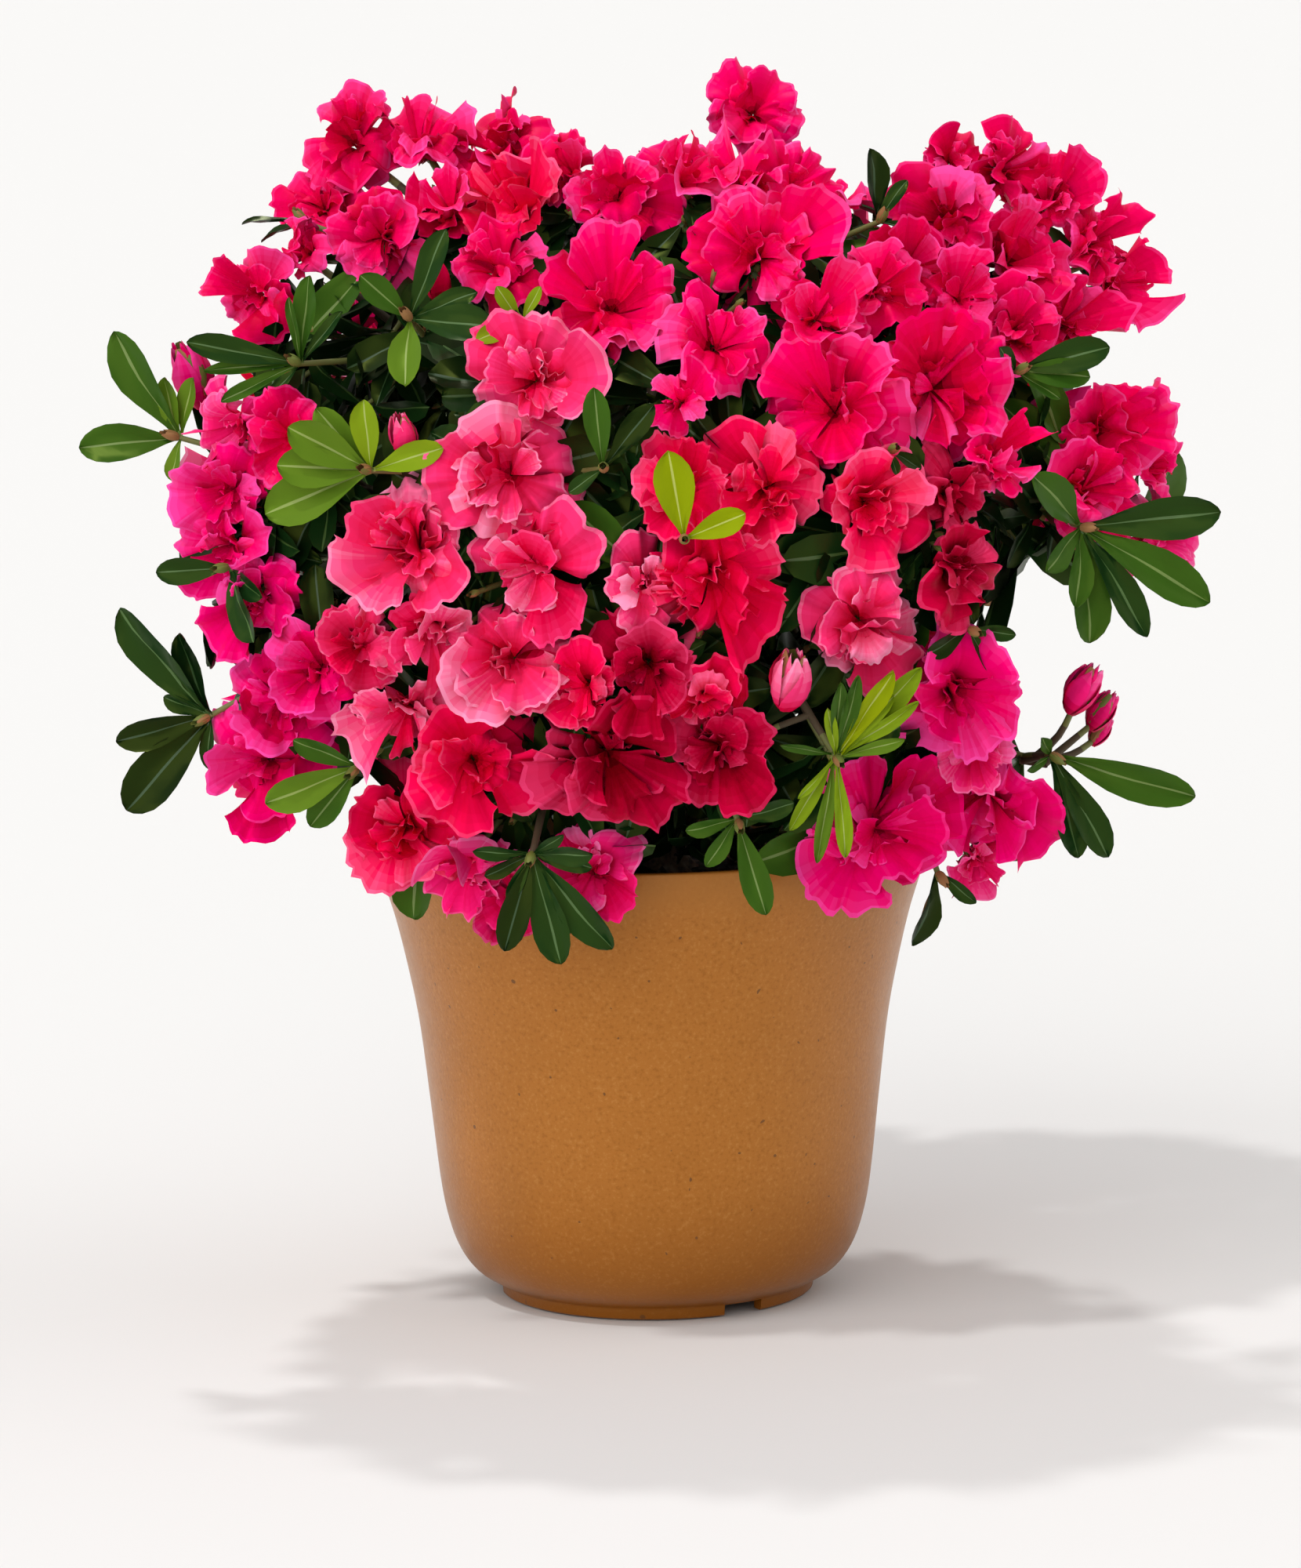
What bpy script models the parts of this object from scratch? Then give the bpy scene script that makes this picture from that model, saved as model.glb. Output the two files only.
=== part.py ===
"""A double-flowered azalea shrub in a bell-shaped pot.

Lengths are in millimetres and are scaled to Blender's metres where a mesh is made. +Z is up, -Y is the
front, and the origin is at the middle of the pot's underside.

The shrub is a short trunk with one tapering bough to each mass of the crown. A mass is a stem that forks
into twigs, and each twig ends in a blossom, a bud or a whorl of leaves.
"""

import math
import random

import bmesh
import bpy
import numpy as np
from mathutils import Matrix, Vector
from mathutils.bvhtree import BVHTree

MM = 0.001
SEED = "azalea"
GAP = 0.3  # air between two pieces that meet
GOLDEN_ANGLE = math.radians(137.508)

# The pot: outer radius at each height, from the foot ring up to the flared rim.
POT_HEIGHT = 130.0
RIM_RADIUS = 76.2
POT_SEGMENTS = 32
WALL = 2.0
FOOT_RADIUS = 43.4
FOOT_RING_WIDTH = 3.2
FOOT_HEIGHT = 3.4
FLOOR_TOP = 5.4
POT_OUTLINE = (
    (46.2, 4.4),
    (50.8, 7.4),
    (54.6, 12.6),
    (57.4, 20.0),
    (59.6, 31.0),
    (62.2, 54.0),
    (64.8, 76.0),
    (67.8, 92.0),
    (71.2, 106.5),
    (74.4, 117.0),
    (75.8, 124.0),
)
NOTCH_ANGLES = (-57.0, 63.0, 183.0)  # degrees from +X
NOTCH_WIDTH, NOTCH_DEPTH, NOTCH_HEIGHT = 12.0, 14.0, 3.2
DRAIN_RADIUS, DRAIN_REACH, DRAIN_SIDES = 4.0, 28.0, 12

# The potting mix, with a level patch in the middle where the trunk stands.
MIX_TOP, MIX_EDGE, MIX_LEVEL_RADIUS = 118.0, 115.0, 24.0

# The trunk: radius at each share of its height, with the root flare at its foot.
TRUNK_FOOT = MIX_TOP + GAP
TRUNK_HEIGHT, TRUNK_LEAN = 58.0, 4.0
TRUNK_TAPER = ((0.0, 12.5), (0.07, 10.0), (0.2, 8.4), (0.5, 7.4), (0.85, 6.6), (1.0, 5.0))

# The crown: an egg-shaped dome about its heart, on which the blossoms sit.
HEART = Vector((0.0, 0.0, 215.0))
CROWN_HALF_WIDTH, CROWN_HALF_DEPTH = 140.0, 122.0
CROWN_ABOVE, CROWN_BELOW = 112.0, 135.0

BOUGH_FOOT_RADIUS, BOUGH_TIP_RADIUS = 2.6, 1.9
BOUGH_POINTS, BOUGH_TRIES = 5, 500
FORK_REACH = 0.62  # where a bough ends, as a share of the way from the heart to its mass
STEM_LENGTH, STEM_RADIUS, TWIG_RADIUS = 12.0, 2.0, 1.0
SLIGHT_REACH, SLIGHT_RADIUS = 0.82, 1.3  # the same for a slight sprig, and its stem's radius
FORK_LENGTH = 8.0  # the end of the stem, along which the twigs leave it
TWIG_SUNK, TWIG_TRIES, TWIG_BEND, TWIG_STRAIGHT = 2.2, 30, 0.07, 1.4
LIMB_CLEARANCE = 0.9
RIM_CLEARANCE = 6.0
MOST_SOLIDS = 20000
CLEARANCE = 0.35  # round a twig or leaf, from what belongs to another mass

BLOSSOM_DEPTH, HEART_RISE = 0.62, 0.14  # of its radius
LOBE_RISE, NOTCH_DROP, NOTCH_REACH = 0.1, -0.08, 0.8
BLOSSOM_DROP, NOD = 4.0, 0.28
BUD_LIFT = 1.8
FORWARD = 0.7  # how much the blossoms of the front turn to the front
PETAL_SPREAD, PETAL_GAP = 1.16, 0.3  # petals reach past their blossom's radius where there is room
LEAF_WIDTH, LEAF_THICKNESS = 0.42, 0.045  # of its length
LEAF_RISE = (0.05, 0.3)  # how far a whorl's leaves rise from its plane
LEAF_SUNK, LEAF_FREE_FROM = 0.3, 3.0
LEAF_TRIES, LEAF_LOOSENESS, LEAF_SHORTENING = 8, 0.12, 0.06
LEAFY_RADIUS, LEAF_LENGTHS = 13.0, (26.0, 35.0)  # a blossom above this radius has two leaves, not one
LEAFLESS_ABOVE = 317.0  # the blossoms along the crown's top hide their leaves
BLOSSOM_LEAF_BACK, WHORL_BACK = 3.4, 0.9  # from the twig's end to where leaves root

PINK, GREEN, BARK = (0.80, 0.004, 0.09, 1), (0.02, 0.075, 0.018, 1), (0.13, 0.075, 0.04, 1)
CLAY, PEAT = (0.47, 0.20, 0.07, 1), (0.02, 0.014, 0.01, 1)

# The front of the crown, mass by mass. A blossom is (x, z, radius). A whorl is (x, z) and its leaves, each
# as the angle in which it points, seen from the front, and its length. A bud is (x, z, radius).
FRONT = {
    "crest_left": {
        "blossoms": ((-80, 325, 14), (-90, 306, 10), (-61, 322, 12), (-54, 310, 9), (-40, 324, 13),
                     (-35, 311, 12), (-21, 317, 9), (-38, 297, 9)),
        "whorls": ((-92, 299, ((175, 18), (205, 16))),),
    },
    "shoulder_left": {
        "blossoms": ((-105, 283, 10), (-95, 295, 8), (-72, 300, 11)),
        "whorls": ((-92, 268, ((170, 31), (183, 28), (205, 24), (245, 14), (40, 18), (75, 24), (100, 22))),
                   (-62, 281, ((140, 18), (62, 26), (-25, 26), (-75, 22), (5, 20)))),
        "buds": ((-55, 291, 4),),
    },
    "peak": {
        "blossoms": ((31, 331, 11), (42, 313, 10), (54, 311, 7), (12, 318, 11), (-7, 314, 13),
                     (27, 315, 10)),
        "whorls": ((63, 302, ((92, 20), (55, 14), (-15, 12))),),
    },
    "brow": {
        "blossoms": ((31, 298, 18), (47, 283, 13), (63, 289, 10), (-8, 288, 18), (21, 277, 13), (9, 263, 7)),
        "whorls": ((-33, 281, ((125, 12), (60, 11), (-125, 16))),),
    },
    "crest_right": {
        "blossoms": ((86, 315, 8), (82, 302, 13), (101, 311, 12), (113, 303, 10), (102, 290, 13),
                     (73, 293, 9), (125, 291, 12), (133, 281, 11), (101, 275, 11), (118, 273, 10),
                     (87, 284, 9)),
        "whorls": ((119, 283, ((0, 17), (30, 12))), (99, 263, ((12, 26), (-10, 20), (-38, 14), (178, 16)))),
    },
    "cheek_right": {
        "blossoms": ((80, 262, 19), (93, 243, 10), (49, 259, 17)),
        "whorls": ((64, 247, ((-70, 16), (250, 12))),),
    },
    "right": {
        "blossoms": ((126, 244, 15), (122, 230, 12), (143, 210, 11), (143, 228, 8)),
        "whorls": ((116, 221, ((-88, 32), (-66, 35), (-33, 41), (5, 38), (202, 20), (160, 27),
                               (-118, 22))),),
    },
    "left": {
        "blossoms": ((-111, 250, 9), (-114, 234, 12), (-115, 219, 12), (-107, 206, 11), (-95, 250, 10)),
        "whorls": ((-126, 245, ((120, 34), (187, 28), (100, 17), (62, 17), (-62, 12))),
                   (-112, 214, ((183, 20), (-42, 23), (-60, 24)))),
        "buds": ((-123, 261, 6),),
    },
    "mid_left": {
        "blossoms": ((-63, 224, 16), (-29, 268, 14), (-36, 244, 18)),
        "whorls": ((-73, 243, ((202, 31), (177, 25), (151, 25), (126, 27), (104, 22), (45, 34))),
                   (-11, 245, ((50, 22), (95, 22), (215, 11)))),
        "buds": ((-64, 253, 4),),
    },
    "heart": {
        "blossoms": ((10, 240, 11), (32, 241, 14), (19, 214, 17), (0, 214, 9)),
        "whorls": ((9, 227, ((100, 28), (22, 20))),),
    },
    "mid_right": {
        "blossoms": ((60, 234, 12), (84, 233, 10), (83, 215, 12), (58, 201, 15)),
        "whorls": ((85, 198, ((-60, 14), (-10, 13), (200, 14))),),
    },
    "low_right": {
        "blossoms": ((84, 179, 14), (87, 163, 9), (63, 141, 20), (92, 142, 15), (90, 125, 8)),
        "whorls": ((77, 127, ((-105, 22), (-40, 14))),),
    },
    "coral": {"blossoms": ((-30, 217, 16), (-36, 194, 16), (-57, 200, 10))},
    "low_left": {
        "blossoms": ((-102, 176, 15), (-106, 157, 13), (-88, 189, 11), (-76, 196, 10)),
        "whorls": ((-119, 170, ((125, 38), (98, 24), (194, 27), (229, 35), (-90, 15), (173, 20))),),
    },
    "rim_left": {
        "blossoms": ((-66, 176, 12), (-46, 165, 15), (-67, 144, 15)),
        "whorls": ((-78, 162, ((200, 27), (223, 27), (151, 19))),),
    },
    "low_centre": {
        "blossoms": ((-10, 166, 16), (-1, 191, 12), (14, 182, 10), (18, 169, 13), (-17, 187, 9)),
        "whorls": ((23, 149, ((-74, 27), (-103, 20), (-171, 14), (23, 16))),),
    },
    "rim_front": {
        "blossoms": ((-17, 133, 10), (-50, 133, 10), (-38, 124, 10)),
        "whorls": ((-31, 142, ((-3, 19), (-119, 16), (-75, 35), (-48, 38), (-106, 31))),),
    },
    "shoot": {
        "blossoms": (),
        "whorls": ((49, 166, ((97, 25), (79, 24), (49, 33), (34, 29), (156, 18), (-120, 24), (-100, 30))),),
        "buds": ((37, 189, 6),),
    },
    "bud_sprig": {
        "blossoms": (),
        "whorls": ((108, 158, ((-15, 41), (-62, 33), (-77, 30), (172, 17), (140, 12))),),
        "buds": ((117, 176, 5), (123, 167, 4), (123, 160, 3)),
    },
}
# Sprigs so slight that their own stem runs back to the trunk, each with how far it comes in below its heads.
BOUGHLESS = {"shoot": 0.0, "bud_sprig": 18.0}
LEADER = "peak"  # its bough goes on from the trunk's top

# The back of the crown: bearing of each mass from +X, its height, and its count of blossoms.
BACK = {
    "top": (86, 296, 5),
    "back_crest_right": (50, 272, 6),
    "back_crest_left": (130, 273, 6),
    "back_right": (22, 236, 6),
    "back_middle_right": (63, 219, 6),
    "back_middle_left": (116, 220, 6),
    "back_left": (160, 226, 6),
    "back_low_right": (48, 164, 5),
    "back_low_middle": (90, 162, 6),
    "back_low_left": (148, 165, 5),
}
BACK_HALF_WIDTH, BACK_HALF_DEPTH, BACK_ABOVE = 119.0, 122.0, 90.0  # it lies lower than the front
BACK_SPACING, BACK_RADII = 14.0, (12.0, 17.5)
BACK_LEAVES, BACK_WHORL = (29.0, 39.0), 5

# Gaps in which the sky shows through the crown for someone in front of it, as they lie in the plane of the
# trunk: x, z, half width and half height.
EYE = Vector((0.0, -2400.0, 550.0))
SKY_GAPS = ((107.0, 177.0, 13.0, 24.0), (-94.0, 197.0, 4.0, 10.0))


# --- Meshes ---------------------------------------------------------------------------------------------


def clear_scene():
    for item in list(bpy.data.objects):
        bpy.data.objects.remove(item)


def plain_material(name, colour, roughness):
    made = bpy.data.materials.new(name)
    made.use_nodes = True
    shader = made.node_tree.nodes["Principled BSDF"]
    shader.inputs["Base Color"].default_value = colour
    shader.inputs["Roughness"].default_value = roughness
    shader.inputs["Metallic"].default_value = 0.0
    return made


def object_of(name, data, material=None):
    made = bpy.data.objects.new(name, data)
    bpy.context.scene.collection.objects.link(made)
    if material:
        data.materials.append(material)
    return made


def mesh_of(name, points, faces):
    mesh = bpy.data.meshes.new(name)
    mesh.from_pydata([Vector(p) * MM for p in points], [], faces)
    return mesh


def facing_out(mesh):
    """Merges coincident points and turns every face outwards."""
    work = bmesh.new()
    work.from_mesh(mesh)
    bmesh.ops.remove_doubles(work, verts=work.verts, dist=0.01 * MM)
    bmesh.ops.recalc_face_normals(work, faces=work.faces)
    work.to_mesh(mesh)
    work.free()
    return mesh


def turned(name, outline, material):
    """The solid of a closed outline of (radius, height) turned about Z."""
    work = bmesh.new()
    points = [work.verts.new((r * MM, 0, z * MM)) for r, z in outline]
    edges = [work.edges.new((points[i - 1], points[i])) for i in range(len(points))]
    bmesh.ops.spin(
        work, geom=points + edges, cent=(0, 0, 0), axis=(0, 0, 1), angle=math.tau, steps=POT_SEGMENTS
    )
    bmesh.ops.remove_doubles(work, verts=work.verts, dist=0.01 * MM)
    mesh = bpy.data.meshes.new(name)
    work.to_mesh(mesh)
    work.free()
    made = object_of(name, facing_out(mesh), material)
    mesh.shade_smooth()
    mesh.set_sharp_from_angle(angle=math.radians(35))
    return made


def limb(name, path, radii, rings, material):
    """A tapering limb as a bevelled curve with closed ends."""
    curve = bpy.data.curves.new(name, "CURVE")
    curve.dimensions = "3D"
    curve.fill_mode = "FULL"
    curve.bevel_depth = MM
    curve.bevel_resolution = rings
    curve.use_fill_caps = True
    spline = curve.splines.new("POLY")
    spline.points.add(len(path) - 1)
    for point, place, radius in zip(spline.points, path, radii):
        point.co = (*(place * MM), 1)
        point.radius = radius
    return object_of(name, curve, material)


def drop_scraps(mesh):
    """Keeps the largest shell: loose scraps go, and so do the walls of a hollow that the union sealed."""
    work = bmesh.new()
    work.from_mesh(mesh)
    waiting, shells = set(work.verts), []
    while waiting:
        shell, reached = set(), [waiting.pop()]
        while reached:
            vert = reached.pop()
            shell.add(vert)
            near = {edge.other_vert(vert) for edge in vert.link_edges} & waiting
            waiting -= near
            reached += near
        shells.append(shell)
    for shell in sorted(shells, key=len)[:-1]:
        bmesh.ops.delete(work, geom=list(shell), context="VERTS")
    work.to_mesh(mesh)
    work.free()


def fused(name, solids, material):
    """One object from closed solids that run into each other, by one Boolean union."""
    others = bpy.data.collections.new(name + "_pieces")
    bpy.context.scene.collection.children.link(others)
    pieces = []
    for i, (points, faces) in enumerate(solids):
        piece = bpy.data.objects.new(f"{name}_piece_{i}", facing_out(mesh_of(name, points, faces)))
        (others if i else bpy.context.scene.collection).objects.link(piece)
        pieces.append(piece)
    union = pieces[0].modifiers.new("union", "BOOLEAN")
    union.operation = "UNION"
    union.operand_type = "COLLECTION"
    union.collection = others
    union.solver = "MANIFOLD"
    bpy.context.view_layer.update()
    graph = bpy.context.evaluated_depsgraph_get()
    mesh = bpy.data.meshes.new_from_object(pieces[0].evaluated_get(graph))
    mesh.name = name
    drop_scraps(mesh)
    for piece in pieces:
        bpy.data.objects.remove(piece)
    bpy.data.collections.remove(others)
    mesh.materials.clear()
    return object_of(name, mesh, material)


# --- The simple solids of a mass ---------------------------------------------------------------------------


def smooth_path(points, count):
    """Even samples of the cubic Bezier curve through four control points."""
    a, b, c, d = (Vector(p) for p in points)
    shares = [i / (count - 1) for i in range(count)]
    return [a * (1 - t) ** 3 + b * 3 * t * (1 - t) ** 2 + c * 3 * t * t * (1 - t) + d * t**3 for t in shares]


def across(direction):
    """Two unit vectors at right angles to a direction and to each other."""
    d = Vector(direction).normalized()
    side = d.cross(Vector((0, 0, 1)) if abs(d.z) < 0.95 else Vector((0, 1, 0))).normalized()
    return side, d.cross(side)


def twig_solid(path, radii, sides=3):
    points, faces = [], []
    for i, (place, radius) in enumerate(zip(path, radii)):
        ahead = path[min(i + 1, len(path) - 1)] - path[max(i - 1, 0)]
        side, up = across(ahead)
        for k in range(sides):
            turn = math.tau * k / sides
            points.append(place + (side * math.cos(turn) + up * math.sin(turn)) * radius)
    for i in range(len(path) - 1):
        for k in range(sides):
            near, far = i * sides, (i + 1) * sides
            nxt = (k + 1) % sides
            faces.append((near + k, near + nxt, far + nxt, far + k))
    last = (len(path) - 1) * sides
    faces += [tuple(reversed(range(sides))), tuple(last + k for k in range(sides))]
    return points, faces


def leaf_frame(leaf):
    """Length, side and top directions of a leaf."""
    ahead = leaf["ahead"].normalized()
    side = ahead.cross(leaf["up"]).normalized()
    return ahead, side, side.cross(ahead)


def leaf_solid(leaf, start=-LEAF_SUNK, wider=0.0):
    """A blade of six faces with a raised midrib. It starts a little behind its root, inside the twig."""
    ahead, side, top = leaf_frame(leaf)
    root, length = leaf["root"], leaf["length"]
    half, thick = 0.5 * LEAF_WIDTH * length + wider, 0.5 * LEAF_THICKNESS * length + wider
    wide = root + ahead * 0.56 * length - top * thick
    base, left, right = root + ahead * (start - wider) - top * wider, wide + side * half, wide - side * half
    tip, rib = root + ahead * (length + wider) - top * thick, root + ahead * 0.4 * length + top * thick
    faces = [(0, 1, 3), (0, 3, 2), (1, 4, 3), (2, 3, 4), (0, 2, 1), (1, 2, 4)]
    return [base, left, right, rib, tip], faces


def rim_height(k, reach):
    """The lobes' tips stand a little above the notches between them."""
    return reach * (NOTCH_DROP if k % 2 else LOBE_RISE)


def blossom_solid(blossom):
    """A shallow cup with five lobes and a raised heart. Each lobe is as long as its space allows."""
    centre, normal, radius = blossom["centre"], blossom["normal"], blossom["radius"]
    side, up = across(normal)
    rim = []
    for k, reach in enumerate(blossom["reach"]):
        turn = blossom["roll"] + math.tau * k / 10
        flat = (side * math.cos(turn) + up * math.sin(turn)) * reach
        rim.append(centre + flat + normal * rim_height(k, reach))
    points = [*rim, centre - normal * BLOSSOM_DEPTH * radius, centre + normal * HEART_RISE * radius]
    faces = []
    for tip in range(0, 10, 2):
        before, after = (tip - 1) % 10, tip + 1
        faces += [(10, after, before), (before, after, tip), (11, before, tip), (11, tip, after)]
    return points, faces


def bud_solid(bud):
    """A spindle of eight faces."""
    normal, radius = bud["normal"], bud["radius"]
    side, up = across(normal)
    foot = bud["centre"] - normal * 1.7 * radius
    ring = [
        bud["centre"] + (side * math.cos(t) + up * math.sin(t)) * radius
        for t in (math.tau * k / 4 for k in range(4))
    ]
    points = [foot, *ring, bud["centre"] + normal * 1.5 * radius]
    faces = [(0, 1 + (k + 1) % 4, 1 + k) for k in range(4)] + [(5, 1 + k, 1 + (k + 1) % 4) for k in range(4)]
    return points, faces


HEAD_SOLIDS = {"blossom": blossom_solid, "bud": bud_solid}


# --- Where everything in the crown goes -------------------------------------------------------------------


def on_dome(x, z):
    """The point of the crown's front at x, z, and the way out of the crown there."""
    height = CROWN_ABOVE if z > HEART.z else CROWN_BELOW
    inside = 1 - (x / CROWN_HALF_WIDTH) ** 2 - ((z - HEART.z) / height) ** 2
    y = -CROWN_HALF_DEPTH * math.sqrt(max(inside, 0.0))
    normal = Vector((x / CROWN_HALF_WIDTH**2, y / CROWN_HALF_DEPTH**2, (z - HEART.z) / height**2))
    return Vector((x, y, z)), normal.normalized()


def blossom_at(place, normal, radius, dice):
    """A blossom that faces a little away from the normal and sits a little in or out of the dome."""
    side, up = across(normal)
    facing = normal + side * dice.uniform(-NOD, NOD) + up * dice.uniform(-NOD, NOD)
    return {
        "kind": "blossom",
        "centre": place - normal * dice.uniform(0, BLOSSOM_DROP),
        "normal": facing.normalized(),
        "radius": float(radius),
        "roll": dice.uniform(0, math.tau),
    }


def front_mass(name, plan):
    dice = random.Random(f"{SEED} {name}")
    heads = []
    for x, z, radius in plan["blossoms"]:
        place, normal = on_dome(x, z)
        forward = (normal + Vector((0, -FORWARD, 0))).normalized()
        heads.append(blossom_at(place, forward, radius, dice))
    for x, z, leaves in plan.get("whorls", ()):
        centre, normal = on_dome(x, z)
        ways = []
        for angle, length in leaves:
            flat = Vector((math.cos(math.radians(angle)), 0, math.sin(math.radians(angle))))
            along = flat - normal * min(0.0, flat.dot(normal))
            ways.append((along.normalized() + normal * dice.uniform(*LEAF_RISE), float(length)))
        heads.append({"kind": "whorl", "centre": centre, "normal": normal, "ways": ways})
    for x, z, radius in plan.get("buds", ()):
        centre, normal = on_dome(x, z)
        lifted = (normal + Vector((0, 0, BUD_LIFT))).normalized()
        heads.append({"kind": "bud", "centre": centre, "normal": lifted, "radius": float(radius)})
    return {"name": name, "heads": heads}


def dome_back(point):
    """The point of the crown's back that is in line with a point from its heart, and the way out there."""
    half = Vector((BACK_HALF_WIDTH, BACK_HALF_DEPTH, BACK_ABOVE if point.z > HEART.z else CROWN_BELOW))
    off = point - HEART
    unit = Vector((off.x / half.x, off.y / half.y, off.z / half.z)).normalized()
    return HEART + unit * half, Vector((unit.x / half.x, unit.y / half.y, unit.z / half.z)).normalized()


def back_mass(name, bearing, height, count):
    """Blossoms on a golden-angle spiral over the dome's back, with a whorl of leaves beyond them."""
    dice = random.Random(f"{SEED} {name}")
    above = BACK_ABOVE if height > HEART.z else CROWN_BELOW
    level = math.sqrt(1 - ((height - HEART.z) / above) ** 2)
    turn = math.radians(bearing)
    flat = Vector((BACK_HALF_WIDTH * math.cos(turn), BACK_HALF_DEPTH * math.sin(turn), 0)) * level
    middle, middle_normal = dome_back(HEART + flat + Vector((0, 0, height - HEART.z)))
    middle_side, middle_up = across(middle_normal)
    heads = []
    for k in range(count + 1):
        out, swing = BACK_SPACING * math.sqrt(k + 0.3), k * GOLDEN_ANGLE
        shift = middle_side * math.cos(swing) + middle_up * math.sin(swing)
        place, normal = dome_back(middle + shift * out)
        if k < count:
            heads.append(blossom_at(place, normal, dice.uniform(*BACK_RADII), dice))
            continue
        side, up = across(normal)
        first = dice.uniform(0, math.tau)
        ways = []
        for leaf in range(BACK_WHORL):
            spin = first + leaf * math.tau / BACK_WHORL
            way = side * math.cos(spin) + up * math.sin(spin) + normal * dice.uniform(*LEAF_RISE)
            ways.append((way, dice.uniform(*BACK_LEAVES)))
        heads.append({"kind": "whorl", "centre": place, "normal": normal, "ways": ways})
    return {"name": name, "heads": heads}


def foot_of(head):
    """The point where a head's twig ends, sunk in the head."""
    if head["kind"] == "blossom":
        return head["centre"] - head["normal"] * (BLOSSOM_DEPTH * head["radius"] - TWIG_SUNK)
    if head["kind"] == "bud":
        return head["centre"] - head["normal"] * head["radius"]
    return head["centre"]


def dense(path, step=2.0):
    """Points no further apart than a step along a path."""
    points = [path[0]]
    for a, b in zip(path, path[1:]):
        count = max(1, math.ceil((b - a).length / step))
        points += [a.lerp(b, (i + 1) / count) for i in range(count)]
    return points


def distance_between(path, other):
    a = np.array([tuple(p) for p in path])
    b = np.array([tuple(p) for p in other])
    return float(np.linalg.norm(a[:, None] - b[None], axis=2).min())


def trunk_axis(height):
    share = (height - TRUNK_FOOT) / TRUNK_HEIGHT
    return Vector((1.0, 0.4, 0)) * TRUNK_LEAN * share**2 + Vector((0, 0, height))


def trunk_radius(height):
    share = (height - TRUNK_FOOT) / TRUNK_HEIGHT
    shares, radii = zip(*TRUNK_TAPER)
    return float(np.interp(share, shares, radii))


def trunk_path():
    """The points of the trunk's axis and its radius at each."""
    path = [trunk_axis(TRUNK_FOOT + share * TRUNK_HEIGHT) for share, _ in TRUNK_TAPER]
    return path, [radius for _, radius in TRUNK_TAPER]


def clears_pot(points, radius):
    """Whether a limb or leaf stays above the mix and passes over the rim."""
    for p in points:
        out = math.hypot(p.x, p.y)
        floor = MIX_TOP + 1.5 if out < 58 else POT_HEIGHT + 2.0
        if out < RIM_RADIUS + RIM_CLEARANCE and p.z - radius < floor:
            return False
    return True


def clears_trunk(path, radius):
    """Whether the limb stays outside the trunk beyond its own foot, with air between."""
    for p in path:
        if (p - path[0]).length < 6.0 or p.z > TRUNK_FOOT + TRUNK_HEIGHT + radius + GAP:
            continue
        axis = trunk_axis(min(p.z, TRUNK_FOOT + TRUNK_HEIGHT))
        if math.hypot(p.x - axis.x, p.y - axis.y) < trunk_radius(p.z) + radius + GAP:
            return False
    return True


def leader_path(target, way):
    """The bough that goes on upwards from the trunk's top."""
    start = trunk_axis(TRUNK_FOOT + TRUNK_HEIGHT) + Vector((0, 0, GAP + 0.3))
    span = (target - start).length
    controls = (start, start + Vector((0, 0, 0.4 * span)), target - way * 0.3 * span, target)
    return smooth_path(controls, BOUGH_POINTS)


def bough_path(target, way, height, swing, rise):
    """A bough that leaves the trunk sideways and upwards and comes to its target pointing outwards."""
    axis = trunk_axis(height)
    turn = math.atan2(target.y - axis.y, target.x - axis.x) + swing
    level = Vector((math.cos(turn), math.sin(turn), 0))
    start_way = level * math.cos(rise) + Vector((0, 0, math.sin(rise)))
    gap = trunk_radius(height) + GAP + 0.35 + BOUGH_FOOT_RADIUS * math.sin(rise)
    start = axis + level * gap
    span = (target - start).length
    controls = (start, start + start_way * 0.38 * span, target - way * 0.3 * span, target)
    return smooth_path(controls, BOUGH_POINTS)


def grow_boughs(masses):
    """Finds a clear way for each bough, the lowest first, looser with each try."""
    leader = next(mass for mass in masses if mass["name"] == LEADER)
    leader["bough"] = leader_path(leader["hub"], leader["way"])
    placed = [dense(leader["bough"])]
    order = sorted((mass for mass in masses if mass is not leader), key=lambda mass: mass["hub"].z)
    for rank, mass in enumerate(order):
        dice = random.Random(f"{SEED} bough {mass['name']}")
        level = TRUNK_FOOT + 7.0 + (TRUNK_HEIGHT - 10.0) * rank / (len(order) - 1)
        climb = math.atan2(mass["hub"].z - level, math.hypot(mass["hub"].x, mass["hub"].y))
        for attempt in range(BOUGH_TRIES):
            loose = attempt / 120
            height = level + dice.uniform(-8, 8) * loose
            height = min(max(height, TRUNK_FOOT + 5.0), TRUNK_FOOT + TRUNK_HEIGHT - 2.5)
            tilt = min(climb + 0.15, 1.2) * (1 - min(1.0, dice.random() * loose))
            path = bough_path(mass["hub"], mass["way"], height, dice.uniform(-0.5, 0.5) * loose, tilt)
            fine = dense(path)
            if not clears_pot(fine, BOUGH_FOOT_RADIUS) or not clears_trunk(fine, BOUGH_FOOT_RADIUS):
                continue
            apart = 2 * BOUGH_FOOT_RADIUS + LIMB_CLEARANCE
            if all(distance_between(fine, other) > apart for other in placed):
                break
        else:
            raise RuntimeError(f"no clear way for the bough of {mass['name']}")
        placed.append(fine)
        mass["bough"] = path


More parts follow.
